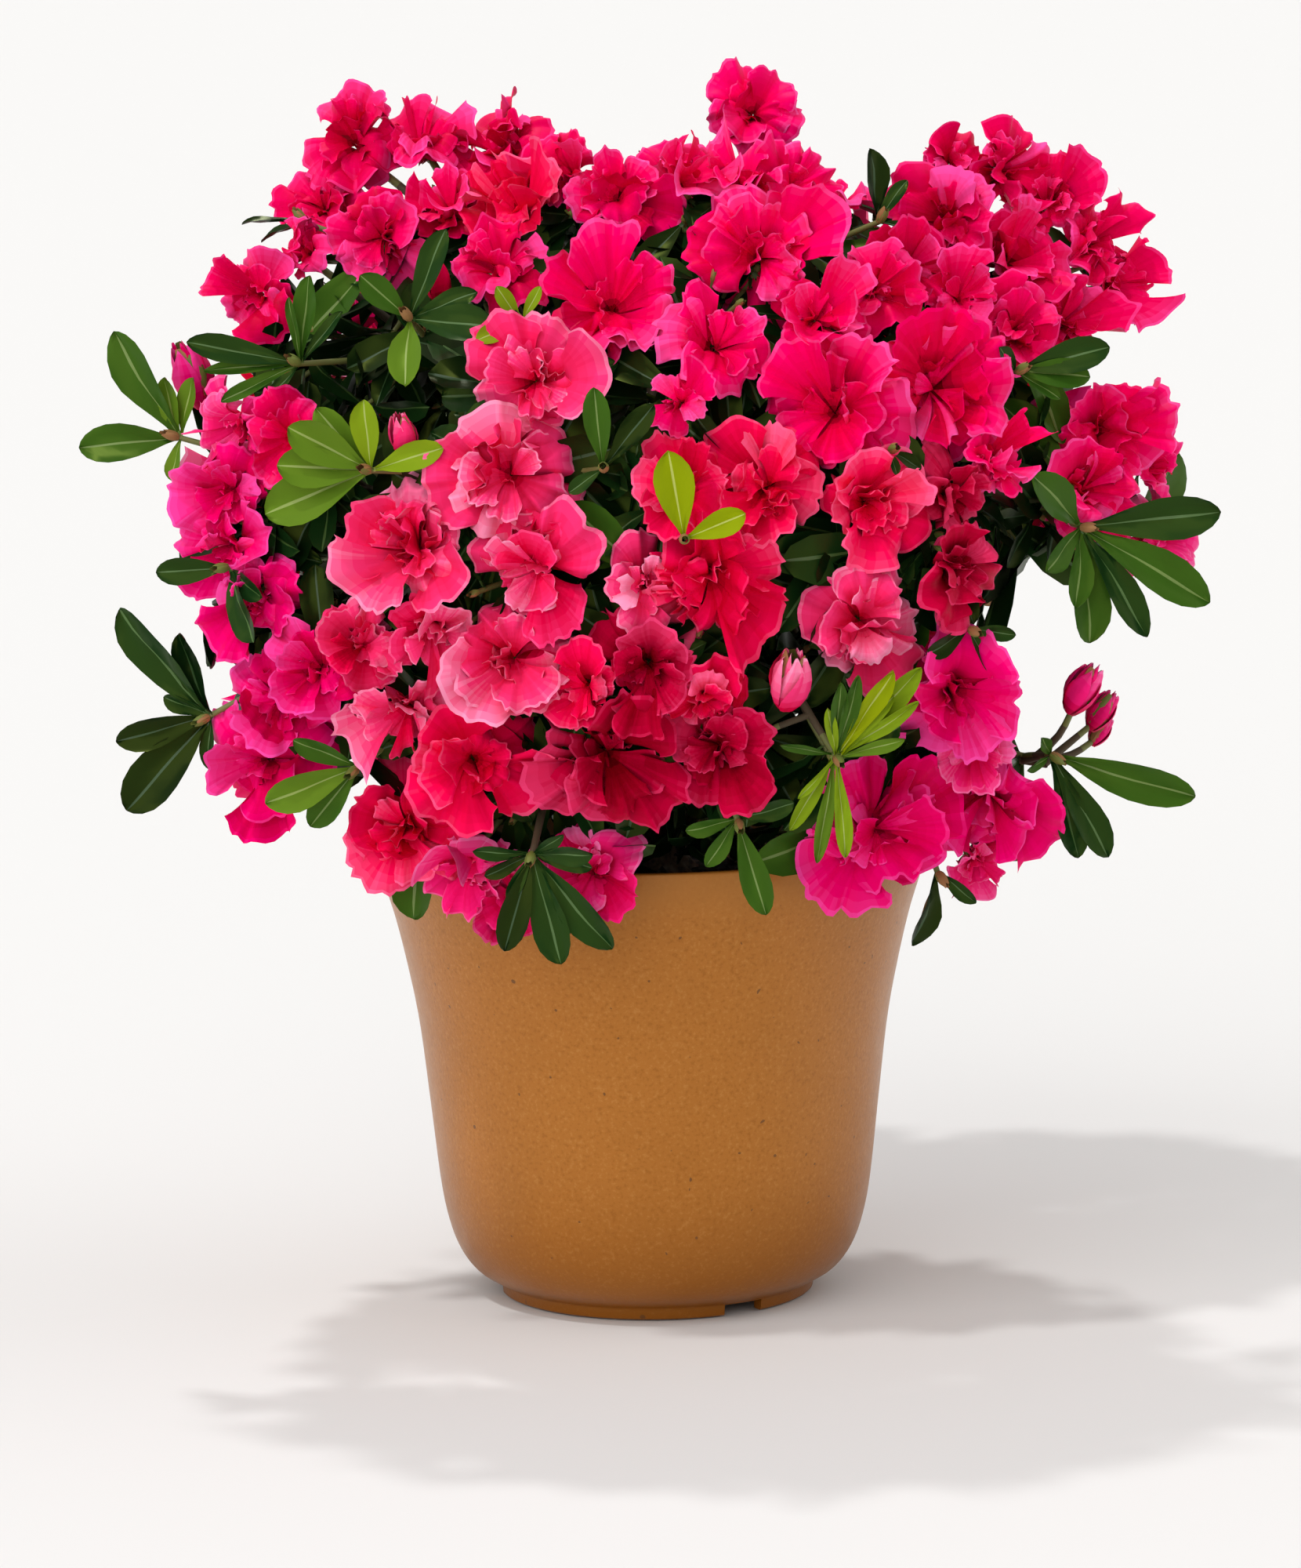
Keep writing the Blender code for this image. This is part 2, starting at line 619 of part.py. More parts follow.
class Taken:
    """The solids that already have their place, for testing a new one against them."""

    def __init__(self):
        self.boxes, self.trees, self.tags = np.empty((MOST_SOLIDS, 6)), [], []

    def add(self, solid, owner, what):
        points, faces = solid
        spots = np.array([tuple(p) for p in points])
        self.boxes[len(self.trees)] = (*spots.min(axis=0), *spots.max(axis=0))
        self.trees.append(BVHTree.FromPolygons(points, faces))
        self.tags.append((owner, what))

    def meets(self, solid, passes):
        """Whether a solid runs into any other, apart from those whose tags pass."""
        points, faces = solid
        spots = np.array([tuple(p) for p in points])
        boxes = self.boxes[: len(self.trees)]
        near = ((boxes[:, :3] < spots.max(axis=0)) & (boxes[:, 3:] > spots.min(axis=0))).all(axis=1)
        tree = BVHTree.FromPolygons(points, faces)
        for i in np.flatnonzero(near):
            if not passes(*self.tags[i]) and tree.overlap(self.trees[i]):
                return True
        return False


def spread_petals(masses):
    """Lets each point of a blossom's rim out as far as the planes half-way to other blossoms allow."""
    heads = [head for mass in masses for head in mass["heads"] if head["kind"] != "whorl"]
    centres = np.array([tuple(head["centre"]) for head in heads])
    radii = np.array([head["radius"] for head in heads])
    for i, head in enumerate(heads):
        if head["kind"] == "bud":
            continue
        apart = np.linalg.norm(centres - centres[i], axis=1)
        others = (apart > 0) & (apart < 70)
        side, up = across(head["normal"])
        head["reach"] = []
        for k in range(10):
            turn = head["roll"] + math.tau * k / 10
            reach = head["radius"] * (NOTCH_REACH if k % 2 else 1.0) * PETAL_SPREAD
            while True:
                out = (side * math.cos(turn) + up * math.sin(turn)) * reach
                tip = head["centre"] + out + head["normal"] * rim_height(k, reach)
                square = np.sum((centres - np.array(tuple(tip))) ** 2, axis=1) - radii**2
                room = (square[others] - square[i]) / (2 * apart[others])
                if room.min(initial=math.inf) > PETAL_GAP and clears_pot([tip], 0.5):
                    break
                reach -= 0.04 * head["radius"]
                if reach < 0.3 * head["radius"]:
                    break
            head["reach"].append(reach)


def set_hub(mass):
    """Where the mass begins: part of the way from the heart to the middle of its heads."""
    feet = [foot_of(head) for head in mass["heads"]]
    middle = sum(feet, Vector()) / len(feet)
    mass["way"] = (middle - HEART).normalized()
    slight = mass["name"] in BOUGHLESS
    mass["hub"] = HEART.lerp(middle, SLIGHT_REACH if slight else FORK_REACH)
    mass["hub"].z -= BOUGHLESS.get(mass["name"], 0.0)
    mass["hub"].z = max(mass["hub"].z, POT_HEIGHT + 18.0)


def start_stem(mass):
    """The stem goes on from the bough's tip to the fork. A slight sprig's stem comes all the way."""
    begin = mass["bough"][-1]
    way = (mass["bough"][-1] - mass["bough"][-2]).normalized()
    mass["fork"] = begin + way * (GAP + 0.1 + STEM_LENGTH)
    mass["stem"] = [begin + way * (GAP + 0.1), mass["fork"] + way * 0.8]
    if mass["name"] in BOUGHLESS:
        mass["stem"] = [*mass["bough"], mass["fork"] + way * 0.8]
    mass["stem_way"] = way


def stem_radii(mass):
    radius = SLIGHT_RADIUS if mass["name"] in BOUGHLESS else STEM_RADIUS
    return [radius] * len(mass["stem"])


def grow_twigs(mass, taken):
    """A twig to each head, bent until it is clear. A head with no clear twig is dropped.

    The heads furthest to the side have their twigs lowest on the stem.
    """
    fork, way, name = mass["fork"], mass["stem_way"], mass["name"]
    dice = random.Random(f"{SEED} twigs {name}")
    order = sorted(mass["heads"], key=lambda head: (foot_of(head) - fork).normalized().dot(way))
    stay = []
    for rank, head in enumerate(order):
        foot = foot_of(head)
        leaves_at = fork - way * FORK_LENGTH * (1 - (rank + 1) / len(order))
        span = (foot - leaves_at).length
        for attempt in range(TWIG_TRIES):
            shift = Vector([dice.uniform(-1, 1) for _ in range(3)]) * span * 0.02 * attempt
            bend = leaves_at.lerp(foot, 0.55) + (way - head["normal"]) * TWIG_BEND * span + shift
            path = [leaves_at, bend, foot]
            if not clears_pot(dense(path), TWIG_RADIUS):
                continue
            tested = twig_solid([leaves_at, bend, bend.lerp(foot, 0.9)], [TWIG_RADIUS + CLEARANCE] * 3)
            if not taken.meets(tested, lambda who, what: who == name and (what == "twig" or what is head)):
                break
        else:
            continue
        back = BLOSSOM_LEAF_BACK if head["kind"] == "blossom" else WHORL_BACK
        head["twig"], head["root"] = path, foot - (foot - bend).normalized() * back
        if distance_between([bend], dense([leaves_at, foot], 0.5)) < TWIG_STRAIGHT:
            path = head["twig"] = [leaves_at, foot]
        taken.add(twig_solid(path, [TWIG_RADIUS] * len(path)), name, "twig")
        stay.append(head)
    mass["heads"] = stay


def wanted_leaves(mass):
    """Every leaf that the mass would have if it had the room, each with the head that it grows by."""
    dice = random.Random(f"{SEED} leaves {mass['name']}")
    wanted = []
    lengths = BACK_LEAVES if mass["name"] in BACK else LEAF_LENGTHS
    for head in mass["heads"]:
        if head["kind"] == "whorl":
            wanted += [(head, way, length) for way, length in head["ways"]]
    for head in mass["heads"]:
        if head["kind"] != "blossom" or head["centre"].z > LEAFLESS_ABOVE:
            continue
        side, up = across(head["normal"])
        first = dice.uniform(0, math.tau)
        for k in range(2 if head["radius"] > LEAFY_RADIUS else 1):
            spin = first + k * GOLDEN_ANGLE
            way = side * math.cos(spin) + up * math.sin(spin) - head["normal"] * dice.uniform(0.0, 0.4)
            wanted.append((head, way, dice.uniform(*lengths)))
    return wanted


def in_sky(point):
    """Whether a point fills a gap in the crown, seen from the front."""
    seen = EYE.lerp(point, EYE.y / (EYE.y - point.y))
    return any(((seen.x - x) / wide) ** 2 + ((seen.z - z) / high) ** 2 < 1 for x, z, wide, high in SKY_GAPS)


def grow_leaves(mass, taken):
    """Puts each wanted leaf where it is clear, after a few tries at turning and shortening it."""
    name = mass["name"]
    dice = random.Random(f"{SEED} room {name}")
    mass["leaves"] = []
    for head, way, length in wanted_leaves(mass):
        side, up = across(head["normal"])
        for attempt in range(LEAF_TRIES):
            turn = (side * dice.uniform(-1, 1) + up * dice.uniform(-1, 1)) * LEAF_LOOSENESS * attempt
            leaf = {"root": head["root"], "ahead": (way + turn).normalized(), "up": head["normal"]}
            leaf["length"] = length * (1 - LEAF_SHORTENING * attempt)
            if name in BACK and any(in_sky(leaf["root"] + leaf["ahead"] * length * t) for t in (0.5, 1.0)):
                continue
            wide = leaf_solid(leaf, wider=CLEARANCE)
            blade = leaf_solid(leaf, start=LEAF_FREE_FROM)
            if not clears_pot(wide[0][1:], 0.0) or taken.meets(wide, lambda owner, what: owner == name):
                continue
            if not taken.meets(blade, lambda owner, what: owner != name):
                mass["leaves"].append(leaf)
                taken.add(leaf_solid(leaf), name, "leaf")
                break


def planned_masses():
    masses = [front_mass(name, plan) for name, plan in FRONT.items()]
    return masses + [back_mass(name, *place) for name, place in BACK.items()]


def grow_crown(masses):
    """Gives every mass its bough, stem, twigs, petals and leaves. Returns what space they take."""
    for mass in masses:
        set_hub(mass)
    grow_boughs(masses)
    spread_petals(masses)
    taken = Taken()
    taken.add(twig_solid(*trunk_path(), 8), "trunk", "limb")
    for mass in masses:
        start_stem(mass)
        if mass["name"] not in BOUGHLESS:
            taken.add(twig_solid(mass["bough"], [BOUGH_FOOT_RADIUS] * BOUGH_POINTS, 6), "bough", "limb")
        taken.add(twig_solid(mass["stem"], stem_radii(mass), 4), mass["name"], "twig")
        for head in mass["heads"]:
            if head["kind"] != "whorl":
                taken.add(HEAD_SOLIDS[head["kind"]](head), mass["name"], head)
    for mass in masses:
        grow_twigs(mass, taken)
    for mass in masses:
        grow_leaves(mass, taken)
    return taken


# --- The pieces --------------------------------------------------------------------------------------------


def inner_wall(inset):
    """The pot's inside from the rim down to the floor, moved inwards by an inset."""
    wall = [(r - WALL - inset, z) for r, z in POT_OUTLINE[-1:1:-2]]
    return [(RIM_RADIUS - WALL - inset, POT_HEIGHT)] + wall


def make_pot(material):
    ring_inside = FOOT_RADIUS - FOOT_RING_WIDTH
    foot = [(0, FOOT_HEIGHT), (ring_inside, FOOT_HEIGHT), (ring_inside, 0), (FOOT_RADIUS, 0)]
    foot.append((FOOT_RADIUS + 0.3, FOOT_HEIGHT))
    rim = [(RIM_RADIUS, 125.6), (RIM_RADIUS, POT_HEIGHT)]
    inside = inner_wall(0) + [(43.0, FLOOR_TOP), (0, FLOOR_TOP)]
    pot = turned("pot", foot + list(POT_OUTLINE) + rim + inside, material)
    for i, angle in enumerate(NOTCH_ANGLES):
        turn = Matrix.Rotation(math.radians(angle), 4, "Z")
        bpy.ops.mesh.primitive_cube_add(size=1)
        notch = bpy.context.object
        notch.data.transform(Matrix.Diagonal((NOTCH_DEPTH * MM, NOTCH_WIDTH * MM, 2 * NOTCH_HEIGHT * MM, 1)))
        notch.data.transform(turn @ Matrix.Translation((FOOT_RADIUS * MM, 0, 0)))
        cut_away(pot, notch, f"notch_{i}")
        bpy.ops.mesh.primitive_cylinder_add(vertices=DRAIN_SIDES, radius=DRAIN_RADIUS * MM, depth=20 * MM)
        drain = bpy.context.object
        drain.data.transform(turn @ Matrix.Translation((DRAIN_REACH * MM, 0, 0)))
        cut_away(pot, drain, f"drain_{i}")
    return pot


def cut_away(target, cutter, name):
    cutter.name = "cutter_" + name
    cutter.hide_render = True
    cutter.display_type = "WIRE"
    cut = target.modifiers.new(name, "BOOLEAN")
    cut.operation = "DIFFERENCE"
    cut.solver = "EXACT"
    cut.object = cutter


def make_mix(material):
    wall = [(r, z) for r, z in inner_wall(GAP + 0.15) if z < MIX_EDGE - 2]
    top = [(0, MIX_TOP), (MIX_LEVEL_RADIUS, MIX_TOP), (wall[0][0] + 2.0, MIX_EDGE)]
    base = [(42.4, FLOOR_TOP + GAP), (0, FLOOR_TOP + GAP)]
    return turned("potting_mix", top + wall + base, material)


def make_trunk(material):
    return limb("trunk", *trunk_path(), 3, material)


def make_bough(mass, material):
    path = mass["bough"]
    slimmer = (BOUGH_TIP_RADIUS - BOUGH_FOOT_RADIUS) / (len(path) - 1)
    radii = [BOUGH_FOOT_RADIUS + slimmer * i for i in range(len(path))]
    return limb("bough_" + mass["name"], path, radii, 1, material)


def make_mass(mass, material):
    sides = 5 if mass["name"] in BOUGHLESS else 4
    solids = [twig_solid(mass["stem"], stem_radii(mass), sides)]
    solids += [twig_solid(head["twig"], [TWIG_RADIUS] * len(head["twig"])) for head in mass["heads"]]
    solids += [HEAD_SOLIDS[head["kind"]](head) for head in mass["heads"] if head["kind"] != "whorl"]
    solids += [leaf_solid(leaf) for leaf in mass["leaves"]]
    return fused("mass_" + mass["name"], solids, material)


def main():
    clear_scene()
    clay, peat = plain_material("pot_plastic", CLAY, 0.5), plain_material("potting_mix", PEAT, 0.95)
    bark = plain_material("bark", BARK, 0.85)
    pink, green = plain_material("blossom", PINK, 0.55), plain_material("leaf", GREEN, 0.45)
    make_pot(clay)
    make_mix(peat)
    make_trunk(bark)
    masses = planned_masses()
    grow_crown(masses)
    for mass in masses:
        if mass["name"] not in BOUGHLESS:
            make_bough(mass, bark)
        make_mass(mass, green if mass["name"] in BOUGHLESS else pink)


main()
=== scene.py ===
"""The looks of a double-flowered azalea in a bell-shaped pot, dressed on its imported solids.

The shrub's plan is in millimetres and comes to Blender's metres where a mesh is made. +Z is up, -Y is the
front, and the origin is at the middle of the pot's underside.
"""

import math
import random

import bpy
import numpy as np
from mathutils import Matrix, Vector, noise
from mathutils.bvhtree import BVHTree


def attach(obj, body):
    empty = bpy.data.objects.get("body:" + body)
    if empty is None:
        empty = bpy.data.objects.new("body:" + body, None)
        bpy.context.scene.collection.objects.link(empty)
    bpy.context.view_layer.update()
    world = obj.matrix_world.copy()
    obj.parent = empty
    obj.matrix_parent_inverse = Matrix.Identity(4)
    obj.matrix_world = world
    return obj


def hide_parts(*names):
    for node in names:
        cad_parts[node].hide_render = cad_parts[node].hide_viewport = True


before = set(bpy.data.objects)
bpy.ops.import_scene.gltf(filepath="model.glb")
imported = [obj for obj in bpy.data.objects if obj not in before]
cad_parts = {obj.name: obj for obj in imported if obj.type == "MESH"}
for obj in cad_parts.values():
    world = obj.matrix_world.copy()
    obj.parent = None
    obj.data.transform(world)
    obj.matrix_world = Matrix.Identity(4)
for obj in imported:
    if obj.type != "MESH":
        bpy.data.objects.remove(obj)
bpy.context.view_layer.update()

MM = 0.001
SEED = "azalea"

# --- Sizes, as the solids have them --------------------------------------------------------------------

GAP = 0.3  # air between two pieces that meet
GOLDEN_ANGLE = math.radians(137.508)

# The pot: outer radius at each height, from the foot ring up to the flared rim.
POT_HEIGHT = 130.0
RIM_RADIUS = 76.2
WALL = 2.0
FOOT_RADIUS = 43.4
FOOT_RING_WIDTH = 3.2
FOOT_HEIGHT = 3.4
FLOOR_TOP = 5.4
POT_OUTLINE = (
    (46.2, 4.4),
    (50.8, 7.4),
    (54.6, 12.6),
    (57.4, 20.0),
    (59.6, 31.0),
    (62.2, 54.0),
    (64.8, 76.0),
    (67.8, 92.0),
    (71.2, 106.5),
    (74.4, 117.0),
    (75.8, 124.0),
)
NOTCH_ANGLES = (-57.0, 63.0, 183.0)  # degrees from +X
NOTCH_WIDTH, NOTCH_DEPTH, NOTCH_HEIGHT = 12.0, 14.0, 3.2
DRAIN_RADIUS, DRAIN_REACH = 4.0, 28.0

# The potting mix, with a level patch in the middle where the trunk stands.
MIX_TOP, MIX_EDGE, MIX_LEVEL_RADIUS = 118.0, 115.0, 24.0

# The trunk: radius at each share of its height, with the root flare at its foot.
TRUNK_FOOT = MIX_TOP + GAP
TRUNK_HEIGHT, TRUNK_LEAN, LEAN_WAY = 58.0, 4.0, Vector((1.0, 0.4, 0))
TRUNK_TAPER = ((0.0, 12.5), (0.07, 10.0), (0.2, 8.4), (0.5, 7.4), (0.85, 6.6), (1.0, 5.0))

# The crown: an egg-shaped dome about its heart, on which the blossoms sit.
HEART = Vector((0.0, 0.0, 215.0))
CROWN_HALF_WIDTH, CROWN_HALF_DEPTH = 140.0, 122.0
CROWN_ABOVE, CROWN_BELOW = 112.0, 135.0

BOUGH_FOOT_RADIUS, BOUGH_TIP_RADIUS = 2.6, 1.9
BOUGH_POINTS, BOUGH_TRIES, LOOSE_AFTER = 5, 500, 120
BOUGH_AIR, LEADER_AIR = 0.35, 0.3  # beyond the gap to the trunk
# The levels at which boughs leave the trunk, above its foot and below its top, and how far they may shift.
LOWEST_BOUGH, BOUGHS_SHORT_OF_TOP, LEAST_LEVEL, BELOW_TOP, LEVEL_SHIFT = 7.0, 10.0, 5.0, 2.5, 8.0
EXTRA_CLIMB, STEEPEST, SWING = 0.15, 1.2, 0.5  # a bough's rise and turn where it leaves, in radians
# The handles of a bough's curve, as shares of its span: at the leader's foot, at any other's, at the end.
LEADER_HANDLE, FOOT_HANDLE, END_HANDLE = 0.4, 0.38, 0.3
FORK_REACH = 0.62  # where a bough ends, as a share of the way from the heart to its mass
STEM_LENGTH, STEM_RADIUS, TWIG_RADIUS = 12.0, 2.0, 1.0
STEM_AIR, STEM_PAST_FORK = GAP + 0.1, 0.8
SLIGHT_REACH, SLIGHT_RADIUS = 0.82, 1.3  # a slight sprig's reach to its fork, and its stem's radius
TRUNK_CORNERS, BOUGH_CORNERS, STEM_CORNERS = 8, 6, 4  # of the solid limbs
FORK_LENGTH = 8.0  # the end of the stem, along which the twigs leave it
TWIG_SUNK, TWIG_TRIES, TWIG_BEND, TWIG_STRAIGHT = 2.2, 30, 0.07, 1.4
TWIG_SHIFT, TWIG_MIDDLE, TWIG_TESTED = 0.02, 0.55, 0.9  # as shares of its length
LIMB_CLEARANCE = 0.9
RIM_CLEARANCE, OPENING_RADIUS = 6.0, 58.0
ABOVE_MIX, ABOVE_RIM, HUB_ABOVE_RIM = 1.5, 2.0, 18.0
FOOT_ZONE = 6.0  # the foot of a bough may lie this near to the trunk
MOST_SOLIDS = 20000
CLEARANCE = 0.35  # round a twig or leaf, from what belongs to another mass

RIM_POINTS = 10  # of a blossom's solid: the tips of its five lobes and the notches between them
BLOSSOM_DEPTH, HEART_RISE = 0.62, 0.14  # of its radius
LOBE_RISE, NOTCH_DROP, NOTCH_REACH = 0.1, -0.08, 0.8
BLOSSOM_DROP, NOD = 4.0, 0.28
BUD_LIFT, BUD_SIDES, BUD_BEHIND, BUD_AHEAD = 1.8, 4, 1.7, 1.5
FORWARD = 0.7  # how much the blossoms of the front turn to the front
PETAL_SPREAD, PETAL_GAP = 1.16, 0.3  # petals reach past their blossom's radius where there is room
PETAL_STEP, LEAST_PETAL, NEAR_BLOSSOM, PETAL_ABOVE_POT = 0.04, 0.3, 70.0, 0.5
LEAF_WIDTH, LEAF_THICKNESS, WIDEST_AT, RIB_AT = 0.42, 0.045, 0.56, 0.4  # of its length
LEAF_RISE = (0.05, 0.3)  # how far a whorl's leaves rise from its plane
LEAF_LEAN = (0.0, 0.4)  # how far a blossom's leaves lean back
LEAF_SUNK, LEAF_FREE_FROM = 0.3, 3.0
LEAF_TRIES, LEAF_LOOSENESS, LEAF_SHORTENING = 8, 0.12, 0.06
LEAFY_RADIUS, LEAF_LENGTHS = 13.0, (26.0, 35.0)  # a blossom above this radius has two leaves, not one
LEAFLESS_ABOVE = 317.0  # the blossoms along the crown's top hide their leaves
BLOSSOM_LEAF_BACK, WHORL_BACK = 3.4, 0.9  # from the twig's end to where leaves root


# The front of the crown, mass by mass. A blossom is (x, z, radius). A whorl is (x, z) and its leaves, each
# as the angle in which it points, seen from the front, and its length. A bud is (x, z, radius).
FRONT = {
    "crest_left": {
        "blossoms": ((-80, 325, 14), (-90, 306, 10), (-61, 322, 12), (-54, 310, 9), (-40, 324, 13),
                     (-35, 311, 12), (-21, 317, 9), (-38, 297, 9)),
        "whorls": ((-92, 299, ((175, 18), (205, 16))),),
    },
    "shoulder_left": {
        "blossoms": ((-105, 283, 10), (-95, 295, 8), (-72, 300, 11)),
        "whorls": ((-92, 268, ((170, 31), (183, 28), (205, 24), (245, 14), (40, 18), (75, 24), (100, 22))),
                   (-62, 281, ((140, 18), (62, 26), (-25, 26), (-75, 22), (5, 20)))),
        "buds": ((-55, 291, 4),),
    },
    "peak": {
        "blossoms": ((31, 331, 11), (42, 313, 10), (54, 311, 7), (12, 318, 11), (-7, 314, 13),
                     (27, 315, 10)),
        "whorls": ((63, 302, ((92, 20), (55, 14), (-15, 12))),),
    },
    "brow": {
        "blossoms": ((31, 298, 18), (47, 283, 13), (63, 289, 10), (-8, 288, 18), (21, 277, 13),
                     (9, 263, 7)),
        "whorls": ((-33, 281, ((125, 12), (60, 11), (-125, 16))),),
    },
    "crest_right": {
        "blossoms": ((86, 315, 8), (82, 302, 13), (101, 311, 12), (113, 303, 10), (102, 290, 13),
                     (73, 293, 9), (125, 291, 12), (133, 281, 11), (101, 275, 11), (118, 273, 10),
                     (87, 284, 9)),
        "whorls": ((119, 283, ((0, 17), (30, 12))), (99, 263, ((12, 26), (-10, 20), (-38, 14), (178, 16)))),
    },
    "cheek_right": {
        "blossoms": ((80, 262, 19), (93, 243, 10), (49, 259, 17)),
        "whorls": ((64, 247, ((-70, 16), (250, 12))),),
    },
    "right": {
        "blossoms": ((126, 244, 15), (122, 230, 12), (143, 210, 11), (143, 228, 8)),
        "whorls": ((116, 221, ((-88, 32), (-66, 35), (-33, 41), (5, 38), (202, 20), (160, 27),
                               (-118, 22))),),
    },
    "left": {
        "blossoms": ((-111, 250, 9), (-114, 234, 12), (-115, 219, 12), (-107, 206, 11), (-95, 250, 10)),
        "whorls": ((-126, 245, ((120, 34), (187, 28), (100, 17), (62, 17), (-62, 12))),
                   (-112, 214, ((183, 20), (-42, 23), (-60, 24)))),
        "buds": ((-123, 261, 6),),
    },
    "mid_left": {
        "blossoms": ((-63, 224, 16), (-29, 268, 14), (-36, 244, 18)),
        "whorls": ((-73, 243, ((202, 31), (177, 25), (151, 25), (126, 27), (104, 22), (45, 34))),
                   (-11, 245, ((50, 22), (95, 22), (215, 11)))),
        "buds": ((-64, 253, 4),),
    },
    "heart": {
        "blossoms": ((10, 240, 11), (32, 241, 14), (19, 214, 17), (0, 214, 9)),
        "whorls": ((9, 227, ((100, 28), (22, 20))),),
    },
    "mid_right": {
        "blossoms": ((60, 234, 12), (84, 233, 10), (83, 215, 12), (58, 201, 15)),
        "whorls": ((85, 198, ((-60, 14), (-10, 13), (200, 14))),),
    },
    "low_right": {
        "blossoms": ((84, 179, 14), (87, 163, 9), (63, 141, 20), (92, 142, 15), (90, 125, 8)),
        "whorls": ((77, 127, ((-105, 22), (-40, 14))),),
    },
    "coral": {"blossoms": ((-30, 217, 16), (-36, 194, 16), (-57, 200, 10))},
    "low_left": {
        "blossoms": ((-102, 176, 15), (-106, 157, 13), (-88, 189, 11), (-76, 196, 10)),
        "whorls": ((-119, 170, ((125, 38), (98, 24), (194, 27), (229, 35), (-90, 15), (173, 20))),),
    },
    "rim_left": {
        "blossoms": ((-66, 176, 12), (-46, 165, 15), (-67, 144, 15)),
        "whorls": ((-78, 162, ((200, 27), (223, 27), (151, 19))),),
    },
    "low_centre": {
        "blossoms": ((-10, 166, 16), (-1, 191, 12), (14, 182, 10), (18, 169, 13), (-17, 187, 9)),
        "whorls": ((23, 149, ((-74, 27), (-103, 20), (-171, 14), (23, 16))),),
    },
    "rim_front": {
        "blossoms": ((-17, 133, 10), (-50, 133, 10), (-38, 124, 10)),
        "whorls": ((-31, 142, ((-3, 19), (-119, 16), (-75, 35), (-48, 38), (-106, 31))),),
    },
    "shoot": {
        "blossoms": (),
        "whorls": ((49, 166, ((97, 25), (79, 24), (49, 33), (34, 29), (156, 18), (-120, 24), (-100, 30))),),
        "buds": ((37, 189, 6),),
    },
    "bud_sprig": {
        "blossoms": (),
        "whorls": ((108, 158, ((-15, 41), (-62, 33), (-77, 30), (172, 17), (140, 12))),),
        "buds": ((117, 176, 5), (123, 167, 4), (123, 160, 3)),
    },
}
# Sprigs so slight that their stem runs back to the trunk, each with how far below its heads it comes in.
BOUGHLESS = {"shoot": 0.0, "bud_sprig": 18.0}
LEADER = "peak"  # its bough goes on from the trunk's top

# The back of the crown: bearing of each mass from +X, its height, and its count of blossoms.
BACK = {
    "top": (86, 296, 5),
    "back_crest_right": (50, 272, 6),
    "back_crest_left": (130, 273, 6),
    "back_right": (22, 236, 6),
    "back_middle_right": (63, 219, 6),
    "back_middle_left": (116, 220, 6),
    "back_left": (160, 226, 6),
    "back_low_right": (48, 164, 5),
    "back_low_middle": (90, 162, 6),
    "back_low_left": (148, 165, 5),
}
BACK_HALF_WIDTH, BACK_HALF_DEPTH, BACK_ABOVE = 119.0, 122.0, 90.0  # it lies lower than the front
BACK_SPACING, FIRST_TURN, BACK_RADII = 14.0, 0.3, (12.0, 17.5)
BACK_LEAVES, BACK_WHORL = (29.0, 39.0), 5

# Gaps in which the sky shows through the crown for someone in front of it, as they lie in the plane of the
# trunk: x, z, half width and half height.
EYE = Vector((0.0, -2400.0, 550.0))
SKY_GAPS = ((107.0, 177.0, 13.0, 24.0), (-94.0, 197.0, 4.0, 10.0))


# --- The simple solids of a mass -----------------------------------------------------------------------


def smooth_path(points, count):
    """Even samples of the cubic Bezier curve through four control points."""
    a, b, c, d = (Vector(p) for p in points)
    shares = [i / (count - 1) for i in range(count)]
    return [
        a * (1 - t) ** 3 + b * 3 * t * (1 - t) ** 2 + c * 3 * t * t * (1 - t) + d * t**3 for t in shares
    ]


def turned(side, up, angle):
    """The direction at an angle from the side towards up."""
    return side * math.cos(angle) + up * math.sin(angle)


def across(direction):
    """Two unit vectors at right angles to a direction and to each other."""
    d = Vector(direction).normalized()
    side = d.cross(Vector((0, 0, 1)) if abs(d.z) < 0.95 else Vector((0, 1, 0))).normalized()
    return side, d.cross(side)


def twig_solid(path, radii, sides=3):
    """A closed rod of flat sides along a path."""
    points, faces = [], []
    for i, (place, radius) in enumerate(zip(path, radii)):
        side, up = across(path[min(i + 1, len(path) - 1)] - path[max(i - 1, 0)])
        points += [place + turned(side, up, math.tau * k / sides) * radius for k in range(sides)]
    for i in range(len(path) - 1):
        for k in range(sides):
            near, far = i * sides, (i + 1) * sides
            nxt = (k + 1) % sides
            faces.append((near + k, near + nxt, far + nxt, far + k))
    last = (len(path) - 1) * sides
    faces += [tuple(reversed(range(sides))), tuple(last + k for k in range(sides))]
    return points, faces


def leaf_frame(leaf):
    """Length, side and top directions of a leaf."""
    ahead = leaf["ahead"].normalized()
    side = ahead.cross(leaf["up"]).normalized()
    return ahead, side, side.cross(ahead)


def leaf_solid(leaf, start=-LEAF_SUNK, wider=0.0):
    """A blade of six faces with a raised midrib. It starts a little behind its root, inside the twig."""
    ahead, side, top = leaf_frame(leaf)
    root, length = leaf["root"], leaf["length"]
    half, thick = 0.5 * LEAF_WIDTH * length + wider, 0.5 * LEAF_THICKNESS * length + wider
    wide = root + ahead * WIDEST_AT * length - top * thick
    base, left, right = root + ahead * (start - wider) - top * wider, wide + side * half, wide - side * half
    tip, rib = root + ahead * (length + wider) - top * thick, root + ahead * RIB_AT * length + top * thick
    faces = [(0, 1, 3), (0, 3, 2), (1, 4, 3), (2, 3, 4), (0, 2, 1), (1, 2, 4)]
    return [base, left, right, rib, tip], faces


